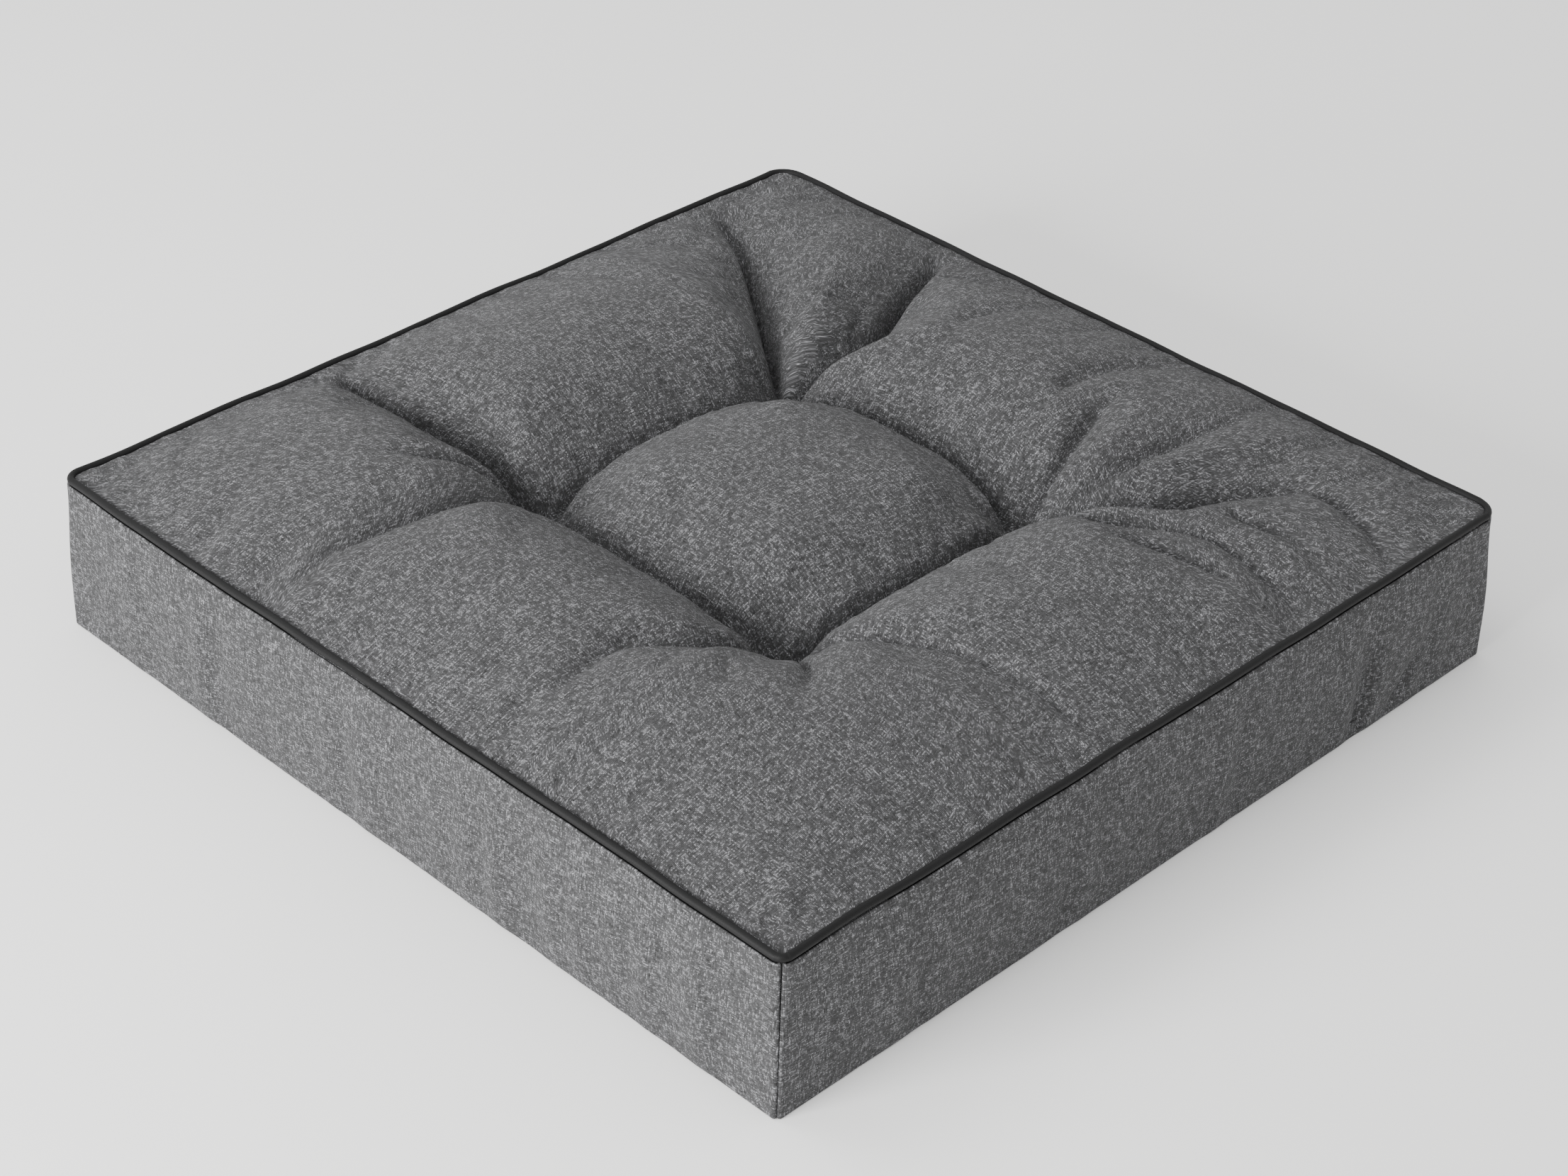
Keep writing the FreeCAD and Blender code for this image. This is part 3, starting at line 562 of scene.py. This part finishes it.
def swell(x, y):
    # The cloth's swelling, held at the seams, the tufts and the bottoms of the tight creases.
    points = np.stack([x, y, topHeight(x, y)], axis=-1).reshape(-1, 3)
    sheet = newPiece("top_panel_pattern", points, gridFaces(*x.shape), coverCloth)
    edge = lip - np.maximum(np.abs(points[:, 0]), np.abs(points[:, 1]))
    held = 1 - smoothStep(4 * mm, 12 * mm, edge)
    for *_, away in fromTufts(points[:, 0], points[:, 1]):
        held = np.maximum(held, 1 - smoothStep(10 * mm, 18 * mm, away))
    for crease in creases[:topCloth["tightCreases"]]:
        fall, away = creaseFall(points[:, 0], points[:, 1], crease)
        deep = smoothStep(4 * mm, 14 * mm, fall) * (1 - smoothStep(3 * mm, 9 * mm, away))
        held = np.maximum(held, 0.9 * deep)
    moved = inflate(sheet, held)
    bpy.data.objects.remove(sheet)
    return refined(moved.reshape(*x.shape, 3))


def makeTopPanel():
    # The swollen grid with a rim that goes down behind the piping. Returns the grid for the fibre.
    cells = topCloth["cells"]
    radii = {name: max(radius - half + lip, 1.2 * mm) for name, radius in corners.items()}
    x, y, _, _ = roundedGrid(cells, lip, radii)
    points = np.stack([x, y, topHeight(x, y)], axis=-1).reshape(-1, 3)
    faces = gridFaces(cells + 1, cells + 1)
    points = points + swell(x[::2, ::2], y[::2, ::2]).reshape(-1, 3)
    # The weave is measured along the cloth itself, each way from the middle lines.
    shaped = points.reshape(cells + 1, cells + 1, 3)
    u, v = cumulative(shaped.transpose(1, 0, 2)).T, cumulative(shaped)
    uv = np.stack([u - u[:, cells // 2, None], v - v[cells // 2]], axis=-1).reshape(-1, 2) + 2.0
    # Down behind the piping, out under it and down again as the seam allowance.
    drop = bandTop - pipingZ
    outwards = np.array([0.1, 0.5, 1.4, 1.5]) * mm
    heights = np.array([0.5 * drop, 0.9 * drop, 1.2 * drop, seamFloor + 0.5 * mm - pipingZ])
    allPoints, allFaces, allUv, _ = addRim(points, faces, uv, borderOf(cells), outwards, heights)
    piece = newPiece("top_panel_cloth", allPoints, allFaces, coverCloth, allUv)
    finish(piece, ["top_panel"], topCloth["thickness"], -1)
    return points.reshape(cells + 1, cells + 1, 3)


print("top panel")
topGrid = makeTopPanel()


# The bands

bandCloth = {
    "thickness": 0.9 * mm,
    "layerInset": 0.5 * mm,       # middle of the outer layer, in from the cushion's side
    "hemInset": 1.5 * mm,         # middle of the turned-in layer
    "foldRadius": 0.8 * mm,       # of the fold into a corner seam
    "bulge": 3.5 * mm,            # swell of a side at half height
    "ripple": 2.2 * mm,           # depth of the upright ripples where the cloth is slack
    "gather": 0.6 * mm,           # short gathers under the piping, and how far down they reach
    "gatherReach": 15 * mm,
    "flatEnd": 18 * mm,           # next to a corner the side is flat, and its swell grows over this fade
    "fade": 50 * mm,
    "allowance": 10 * mm,
}


def bandProfile():
    # Inset and height of the cloth's middle: up the top hem, over, down the side, under and up.
    outer, inner = bandCloth["layerInset"], bandCloth["hemInset"]
    fold = (inner - outer) / 2
    around = np.linspace(0, np.pi, 6)[1:-1]
    side = np.concatenate([[bandTop - 1.4 * mm], np.linspace(bandTop - 3 * mm, 3 * mm, 26), [1.4 * mm]])
    top, bottom = bandTop - 1.0 * mm, 1.0 * mm
    hem = np.array([bandCloth["allowance"], 6 * mm, 2 * mm])
    insets = np.concatenate([
        np.full(3, inner), (inner + outer) / 2 + fold * np.cos(around),
        np.full(len(side), outer), (inner + outer) / 2 - fold * np.cos(around), np.full(3, inner),
    ])
    heights = np.concatenate([
        bandTop - hem, top + fold * np.sin(around), side, bottom - fold * np.sin(around), hem[::-1],
    ])
    return insets, heights


def cornerPath(inset, radius):
    # Half a side in plan, from its middle to a corner: straight, an arc, a tight turn of 135
    # degrees in all, and the allowance that runs in along the diagonal. One row for each inset.
    fold = bandCloth["foldRadius"]
    bend = np.maximum(radius - inset, 1.2 * mm)
    last = np.maximum(np.pi / 4 - (fold + inset) / bend, 0.1)
    straight = np.linspace(0, 1, 81)[None]
    first = np.linspace(0, 1, 8)[None, 1:] * last
    second = last + np.linspace(0, 1, 7)[None, 1:] * (0.75 * np.pi - last)
    bendX, bendY = bend * np.sin(first), bend * (1 - np.cos(first))
    foldX = bendX[:, -1:] + fold * (np.sin(second) - np.sin(last))
    foldY = bendY[:, -1:] + fold * (np.cos(last) - np.cos(second))
    reach = np.linspace(0, 1, 4)[None, 1:] * (bandCloth["allowance"] - 3 * mm) / math.sqrt(2)
    tailX, tailY = foldX[:, -1:] - reach, foldY[:, -1:] + reach
    start = half - inset - foldX[:, -1:] - foldY[:, -1:] - math.sqrt(2) * inset
    x = np.concatenate([start * straight, start + bendX, start + foldX, start + tailX], axis=1)
    y = np.concatenate([np.zeros_like(start * straight), bendY, foldY, tailY], axis=1) - half + inset
    return x, y


def makeBand(side, turn, leftCorner, rightCorner, slack, seed, tucks=()):
    # The profile carried along the front side, pushed in and out by a swell, ripples and tucks,
    # then turned to its own side.
    insets, heights = bandProfile()
    inset, height = insets[:, None], heights[:, None]
    gather = smoothStep(0, bandTop, height) ** 2
    halves = []
    for name in (leftCorner, rightCorner):
        radius = floorCorner + (corners[name] - floorCorner) * gather
        halves.append(cornerPath(inset, radius))
    x = np.concatenate([-halves[0][0][:, :0:-1], halves[1][0]], axis=1)
    y = np.concatenate([halves[0][1][:, :0:-1], halves[1][1]], axis=1)

    # The filling swells the side; slack cloth hangs in soft upright ripples near the floor, and
    # the ease at the piping shows as short gathers. All fade out at the corners and the seams.
    inner = smoothStep(0, bandCloth["fade"], half - bandCloth["flatEnd"] - np.abs(x))
    level = height / bandTop
    swell = bandCloth["bulge"] * np.sin(np.pi * np.clip(level, 0, 1)) ** 0.8 * inner
    ripples = uneven(x, (0.037, 0.053, 0.083), seed) + 0.5 * uneven(x, (0.023, 0.029), 2 * seed)
    share, more, start, end = slack
    share = (share + more * smoothStep(start, end, x)) * np.sin(np.pi * np.clip(level, 0, 1) ** 0.62)
    below = bandTop - height
    gathers = uneven(x, (0.013, 0.019, 0.029), 3 * seed) * np.exp(-below / bandCloth["gatherReach"])
    gathers = bandCloth["gather"] * gathers * smoothStep(0, 8 * mm, below)
    y = y - swell - (bandCloth["ripple"] * share * ripples + gathers) * inner
    # Tucks are narrow hollows that start at the floor and lean as they die away upwards.
    for foot, head, reach, depth, width in tucks:
        middle = foot + (head - foot) * height / reach
        hollow = np.exp(-np.abs((x - middle) / width) ** 1.5) * (1 - smoothStep(0.4 * reach, reach, height))
        y = y + depth * hollow * smoothStep(0, 12 * mm, height) * inner

    # Turn the front band to its side, then let its top edge follow the seam.
    angle = math.radians(turn)
    worldX, worldY = x * math.cos(angle) - y * math.sin(angle), x * math.sin(angle) + y * math.cos(angle)
    rise, aside = seamSway(worldX, worldY)
    follow = smoothStep(0.35 * bandTop, bandTop, height)
    worldX = worldX + aside * follow * abs(math.sin(angle))
    worldY = worldY + aside * follow * abs(math.cos(angle))
    points = np.stack([worldX, worldY, height + rise * follow], axis=-1)
    across = cumulative(points.transpose(1, 0, 2)).T
    across = across - across[:, across.shape[1] // 2][:, None]
    down = np.broadcast_to(cumulative(np.stack([insets, heights], axis=-1))[:, None], across.shape)
    uv = np.stack([across, -down], axis=-1) + (4.0 + turn / 90, 2.0)
    piece = newPiece(f"band_{side}_cloth", points, gridFaces(*x.shape)[:, ::-1], coverCloth, uv)
    finish(piece, [f"band_{side}"], bandCloth["thickness"], 0, 1)


# Each side: its turn from the front, its two corners, its slack (an amount, and more of it from one
# place along the side to another) and a phase for its ripples.
sides = {
    "front": (0, "front_left", "front_right", (0.6, 0.5, 0, 0.2), 0.9),
    "right": (90, "front_right", "back_right", (0.5, 0, 0, 0.2), 2.3),
    "back": (180, "back_right", "back_left", (0.6, 0, 0, 0.2), 3.1),
    "left": (270, "back_left", "front_left", (1.0, 0.2, 0, 0.15), 4.4),
}
# Tucks in the front band: places of foot and head, reach upwards, depth and half width.
frontTucks = [
    (0.176, 0.184, 0.090, 3.6 * mm, 6 * mm),
    (0.203, 0.240, 0.060, 4.0 * mm, 6 * mm),
    (0.148, 0.130, 0.070, 1.8 * mm, 9 * mm),
    (0.034, 0.048, 0.032, 2.2 * mm, 6 * mm),
    (-0.005, -0.012, 0.080, 1.2 * mm, 10 * mm),
]
print("bands")
for side, values in sides.items():
    makeBand(side, *values, frontTucks if side == "front" else ())


# The underside

baseCloth = {
    "cells": 72, "thickness": 0.9 * mm, "inset": 2.2 * mm,
    "dimpleRadius": 26 * mm, "rimHeight": 9.5 * mm,
    "gather": 0.12,               # of a dimple's height
}


def underHeight(x, y):
    # Flat on the floor, drawn up in a bell over each knot, with short gathers round it.
    height = np.full_like(x, 0.55 * mm)
    for signX, signY, east, north, away in fromTufts(x, y):
        bell = np.exp(-(away / baseCloth["dimpleRadius"]) ** 2)
        turn = np.arctan2(north, east) + signX + 0.5 * signY
        folds = baseCloth["gather"] * np.sin(11 * turn + np.sin(3 * turn)) * smoothStep(4 * mm, 16 * mm, away)
        height += (dimpleTop - 1.2 * mm) * bell * (1 + folds)
    return height


def makeBottomPanel():
    # A flat grid with a rim turned up inside the bands.
    cells = baseCloth["cells"]
    reach = half - baseCloth["inset"] - baseCloth["thickness"] / 2
    radii = {name: floorCorner for name in quarters}
    x, y, u, v = roundedGrid(cells, reach, radii)
    points = np.stack([x, y, underHeight(x, y)], axis=-1).reshape(-1, 3)
    uv = np.stack([u, v], axis=-1).reshape(-1, 2) + (10.0, 2.0)
    outwards = np.array([0.3, 0.4, 0.4, 0.4]) * mm
    heights = np.array([0.15 * mm, 0.6 * mm, 4 * mm, baseCloth["rimHeight"]])
    faces = gridFaces(cells + 1, cells + 1)
    points, faces, uv, _ = addRim(points, faces, uv, borderOf(cells), outwards, heights)
    piece = newPiece("bottom_panel_cloth", points, faces[:, ::-1], coverCloth, uv)
    finish(piece, ["bottom_panel"], baseCloth["thickness"], 0, 1)


print("bottom panel")
makeBottomPanel()


# Piping, cord and twine

def cushionLoop(inset, spacing=4 * mm):
    # Once round the top edge at an inset, anticlockwise from the front left corner's end: four
    # straight sides and four arcs about the corners' centres. Returns places, outward normals and
    # the seam's rise.
    places, normals = [], []
    order = ["front_right", "back_right", "back_left", "front_left"]
    for k, name in enumerate(order):
        before = order[k - 1]
        forward = np.array([math.cos(k * np.pi / 2), math.sin(k * np.pi / 2)])
        outward = np.array([forward[1], -forward[0]])
        start, end = -half + corners[before], half - corners[name]
        count = int((end - start) / spacing)
        run = np.linspace(start, end, count, endpoint=False)[:, None]
        places.append(forward * run + outward * (half - inset))
        normals.append(np.broadcast_to(outward, (count, 2)))
        angles = np.linspace(0, np.pi / 2, 8, endpoint=False)[:, None]
        normal = outward * np.cos(angles) + forward * np.sin(angles)
        centre = forward * end + outward * (half - corners[name])
        places.append(centre + normal * (corners[name] - inset))
        normals.append(normal)
    place, normal = np.concatenate(places), np.concatenate(normals)
    rise, aside = seamSway(place[:, 0], place[:, 1])
    # On the straight sides only, the seam strays along X or Y, whichever the normal lies on.
    straight = np.abs(normal) > 0.999
    place = place + straight * aside[:, None]
    return place, normal, rise


def sweepLoop(name, inset, outline, material, closedOutline=False):
    # An outline, given as outward and upward offsets, carried once round the cushion's edge.
    place, normal, rise = cushionLoop(inset)
    ring = np.zeros((len(place), len(outline), 3))
    ring[..., :2] = place[:, None] + normal[:, None] * outline[None, :, :1]
    ring[..., 2] = pipingZ + rise[:, None] + outline[None, :, 1]
    rows = np.concatenate([ring, ring[:1]])
    count = len(place)
    faces = gridFaces(count + 1, len(outline), closedOutline) % (count * len(outline))
    along = cumulative(rows[:, 0])[:-1, None] * np.ones((1, len(outline)))
    around = cumulative(outline)[None] * np.ones((count, 1))
    uv = np.stack([along, around], axis=-1) + 2.0
    return newPiece(name, ring, faces[:, ::-1], material, uv)


piping = {"cloth": 0.75 * mm, "samples": 22, "tail": 12 * mm}


def makePiping():
    # A strip folded round the cord: down the outer tail, round the tube and down the inner one.
    radius = pipingRadius - piping["cloth"] / 2
    gap = math.asin(piping["cloth"] * 0.55 / radius)
    turn = np.linspace(-np.pi / 2 + gap, 1.5 * np.pi - gap, piping["samples"])
    tube = np.stack([radius * np.cos(turn), radius * np.sin(turn)], axis=-1)
    side = piping["cloth"] * 0.55
    tailHeights = np.linspace(-piping["tail"], -radius - 0.4 * mm, 4)
    first = np.stack([np.full(4, side), tailHeights], axis=-1)
    outline = np.concatenate([first, tube, first[::-1] * [-1, 1]])
    strip = sweepLoop("piping_strip", pipingInset, outline, pipingCloth)
    finish(strip, ["piping_cover"], piping["cloth"], 0)
    around = cumulative(outline)[-1]
    turn = np.linspace(0, 2 * np.pi, 12, endpoint=False)
    circle = (cordRadius - 0.1 * mm) * np.stack([np.cos(turn), np.sin(turn)], axis=-1)
    cord = sweepLoop("piping_filler_cord", pipingInset, circle, cottonCord, True)
    finish(cord, ["piping_cord"])


print("piping")
makePiping()

twine = {
    "plyRadius": 0.42 * mm, "layRadius": 0.42 * mm, "lay": 6 * mm, "spanHalf": 3 * mm,
    "knotSize": 1.3 * mm, "tail": 16 * mm,
}


def offPath(path, side):
    # Two directions at right angles to a path, and to each other; side is any direction off its own.
    forward = unit(np.gradient(path, axis=0))
    first = unit(np.cross(forward, side))
    return first, np.cross(forward, first)


def tube(path, side, radius, sides=7):
    # Rings at right angles to a path, closed at both ends.
    first, second = offPath(path, side)
    angle = np.linspace(0, 2 * np.pi, sides, endpoint=False)[None, :, None]
    rings = path[:, None] + radius * (first[:, None] * np.cos(angle) + second[:, None] * np.sin(angle))
    count = len(path)
    faces = gridFaces(count, sides, True).tolist()
    faces += [list(range(sides))[::-1], list(range((count - 1) * sides, count * sides))]
    along = cumulative(path)[:, None] * np.ones((1, sides))
    around = radius * angle[..., 0] * np.ones((count, 1))
    return rings.reshape(-1, 3), faces, np.stack([along, around], axis=-1).reshape(-1, 2)


def laidPlies(path, side):
    # Three plies wound round a path, one turn for each lay.
    first, second = offPath(path, side)
    turn = 2 * np.pi * cumulative(path) / twine["lay"]
    for ply in range(3):
        angle = (turn + 2 * np.pi * ply / 3)[:, None]
        offset = twine["layRadius"] * (first * np.cos(angle) + second * np.sin(angle))
        yield tube(path + offset, side, twine["plyRadius"])


def makeTwine(name, signX, signY):
    # Up through the cushion, over the cloth and down, then a trefoil knot with two short tails.
    centre = np.array([signX * tuft, signY * tuft, 0.0])
    span, top = twine["spanHalf"], topCloth["tuftFloor"] + 1.0 * mm
    low = dimpleTop - 3.5 * mm
    up = np.stack([np.full(60, -span), np.zeros(60), np.linspace(low, top - span, 60)], axis=-1)
    turn = np.linspace(np.pi, 0, 16)[1:-1]
    over = np.stack([span * np.cos(turn), 0 * turn, top - span + span * np.sin(turn)], axis=-1)
    strand = centre + np.concatenate([up, over, up[::-1] * [-1, 1, 1]])
    parts = list(laidPlies(strand, np.array([0.0, 1.0, 0.0])))
    t = np.linspace(0, 2 * np.pi, 90)
    knotX, knotY = np.sin(t) + 2 * np.sin(2 * t), np.cos(t) - 2 * np.cos(2 * t)
    knot = twine["knotSize"] * np.stack([knotX, knotY, -1.1 * np.sin(3 * t)], axis=-1)
    knotPath = knot + centre + (0, 0, low)
    parts += list(laidPlies(knotPath, knot + (0, 0, 0.2 * mm)))
    for way in (-1, 1):
        run = np.linspace(0, 1, 24)
        bend = 0.5 * way + 0.6 * run
        tail = np.stack([
            way * (2 * mm + run * twine["tail"] * np.cos(bend)), run * twine["tail"] * np.sin(bend) * way,
            low - 1.5 * mm - 2.2 * mm * run,
        ], axis=-1)
        parts += list(laidPlies(centre + tail, np.array([0.0, 0.0, 1.0])))
    points, faces, uv, offset = [], [], [], 0
    for partPoints, partFaces, partUv in parts:
        points.append(partPoints)
        faces += [[index + offset for index in face] for face in partFaces]
        uv.append(partUv)
        offset += len(partPoints)
    piece = newPiece(f"twine_{name}", np.concatenate(points), faces, waxedTwine, np.concatenate(uv) + 1.0)
    finish(piece, [f"tuft_twine_{name}"])


print("twine")
for name, (signX, signY) in quarters.items():
    makeTwine(name, signX, signY)


# Corner seams

stitching = {"thread": 0.4 * mm, "pitch": 3 * mm, "sway": 0.45 * mm, "depth": 3.2 * mm}


def makeStitching(name, signX, signY):
    # A lockstitch thread down the seam between two bands: a wave across the two turned-in edges,
    # which follows the corner as it rounds off towards the top.
    height = np.linspace(bandCloth["allowance"], bandTop - bandCloth["allowance"], 160)
    radius = floorCorner + (corners[name] - floorCorner) * smoothStep(0, bandTop, height) ** 2
    place = half - radius * (1 - math.sqrt(0.5)) - stitching["depth"]
    sway = stitching["sway"] * np.sin(2 * np.pi * height / stitching["pitch"])
    path = np.stack([signX * (place + sway), signY * (place - sway), height], axis=-1)
    points, faces, _ = tube(path, np.array([signX, signY, 0.0]), stitching["thread"])
    piece = newPiece(f"stitching_{name}", points, faces, threadTwist)
    finish(piece, [f"corner_thread_{name}"])


print("corner seams")
for name, (signX, signY) in quarters.items():
    makeStitching(name, signX, signY)


# The filling

filling = {
    "clearance": 2.5 * mm,        # under the top panel
    "sideInset": 5 * mm,
    "shoulderInset": 9 * mm,
    "slabCells": 90,
    "slabCorner": 22 * mm,
    "pressRadius": 22 * mm,       # of the hollow that a twine presses into the slab
    "fibreFill": 0.85,            # share of the wadding that is fibre
}


def makeBody(name, top, bottom, outline, material, node, fill):
    # A closed body between two grids on the same plan, joined by rings round their edges.
    rows = len(top)
    border = borderOf(rows - 1)
    points = np.stack([top, bottom]).reshape(-1, 3)
    faces = gridFaces(rows, rows)
    faces = np.concatenate([faces, faces[:, ::-1] + rows * rows])
    outwards, heights = np.array(outline).T
    heights = heights[:, None] - points[border, 2]
    points, faces, _, last = addRim(points, faces, points[:, :2], border, outwards, heights)
    faces = np.concatenate([faces, ringQuads(last, rows * rows + border)])
    piece = newPiece(name, points, faces, material)
    finish(piece, [node])


def makeFilling():
    # Loose fibre follows the panel a little below it; the foam is a slab hollowed over the knots.
    top = topGrid.copy()
    across, along = np.gradient(top, axis=1), np.gradient(top, axis=0)
    steep = np.clip(unit(np.cross(across, along))[..., 2], 0.35, 1)
    top[..., 2] -= filling["clearance"] / steep
    # Drawn in from the seams, with the rest of the plan left where it is.
    for axis in (0, 1):
        share = np.abs(top[..., axis]) / lip
        top[..., axis] -= np.sign(top[..., axis]) * (filling["shoulderInset"] - half + lip) * share ** 12
    bottom = top.copy()
    bottom[..., 2] = fibreLow.z
    seam = bandTop - bandCloth["allowance"] - 2 * mm
    wide = filling["shoulderInset"] - filling["sideInset"]
    rings = [
        (0.3 * mm, seam + 4 * mm), (wide, seam - 3 * mm), (wide, foamHigh.z + 5 * mm),
        (wide - 2 * mm, fibreLow.z + 0.8 * mm),
    ]
    makeBody("fibre_fill", top, bottom, rings, fibreFluff, "fibre_filling", filling["fibreFill"])
    reach = foamHigh.x - 1.5 * mm
    x, y, _, _ = roundedGrid(filling["slabCells"], reach, {name: filling["slabCorner"] for name in quarters})
    press = sum(np.exp(-(away / filling["pressRadius"]) ** 2) for *_, away in fromTufts(x, y))
    slabTop = np.stack([x, y, foamHigh.z - 1.5 * mm * press], axis=-1)
    slabBottom = np.stack([x, y, foamLow.z + 0.8 * mm + dimpleTop * press], axis=-1)
    rings = [
        (1.2 * mm, foamHigh.z - 1 * mm), (1.5 * mm, foamHigh.z - 4 * mm),
        (1.5 * mm, foamLow.z + 4 * mm), (1.2 * mm, foamLow.z + 1.5 * mm),
    ]
    makeBody("foam_slab", slabTop, slabBottom, rings, foamCells, "foam_base", 1.0)


print("filling")
makeFilling()

# The straight seams' threads keep the frame's own shapes.
for name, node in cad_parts.items():
    if name in ("top_seam_thread", "bottom_seam_thread", "closing_thread"):
        for place in range(len(node.material_slots)):
            node.material_slots[place].material = threadTwist


# Floor, light and camera

studio = {
    "floorHalf": 6.0,
    "floorColour": "#F7F7F6",
    "worldColour": "#F6F6F6",
    "worldStrength": 1.28,
}
lamps = {
    # name: (place, aim, width, height, watts)
    "left_window": ((-2.35, 0.05, 0.95), (0, 0, 0.05), 1.3, 0.9, 110),
    "top_soft": ((-0.6, 1.3, 2.2), (0, 0, 0.1), 1.2, 1.2, 20),
}
cameraView = {
    "place": (-1.199, -1.163, 1.162), "aim": (-0.0132, -0.0160, 0.05), "roll": 1.8, "lens": 77.4,
}


def makeStudio():
    # A pale floor, an even sky and two soft lamps.
    reach = studio["floorHalf"]
    material, tree, shader = newMaterial("pale_matt_studio_floor", 0.9, 1.45)
    place = addNode(tree, "TexCoord", {}).outputs["Object"]
    noise = addNode(tree, "TexNoise", {"Vector": place, "Scale": 3.0})
    tone = addNode(tree, "ValToRGB", {0: noise})
    setRamp(tone, ((0.3, studio["floorColour"]), (0.7, "#FAFAF9")))
    tree.links.new(tone.outputs[0], shader.inputs["Base Color"])
    points = [(-reach, -reach, 0), (reach, -reach, 0), (reach, reach, 0), (-reach, reach, 0)]
    floor = newPiece("floor", points, [[0, 1, 2, 3]], material)
    world = bpy.data.worlds.new("studio")
    world.use_nodes = True
    background = world.node_tree.nodes["Background"]
    background.inputs["Color"].default_value = linear(studio["worldColour"])
    background.inputs["Strength"].default_value = studio["worldStrength"]
    scene.world = world
    for name, (place, aim, width, height, watts) in lamps.items():
        lamp = bpy.data.lights.new(name, "AREA")
        lamp.shape = "RECTANGLE"
        lamp.size = width
        lamp.size_y = height
        lamp.energy = watts
        holder = bpy.data.objects.new(name, lamp)
        holder.location = place
        holder.rotation_euler = (Vector(aim) - Vector(place)).to_track_quat("-Z", "Y").to_euler()
        scene.collection.objects.link(holder)


def makeCamera():
    # Looks from one place to another, rolled about its own axis.
    lens = bpy.data.cameras.new("camera")
    lens.lens = cameraView["lens"]
    lens.sensor_width = 36
    camera = bpy.data.objects.new("camera", lens)
    place = Vector(cameraView["place"])
    look = (Vector(cameraView["aim"]) - place).to_track_quat("-Z", "Y")
    roll = Quaternion((0, 0, 1), math.radians(cameraView["roll"]))
    camera.matrix_world = Matrix.Translation(place) @ (look @ roll).to_matrix().to_4x4()
    scene.collection.objects.link(camera)
    scene.camera = camera


print("studio")
makeStudio()
makeCamera()

bpy.context.view_layer.update()
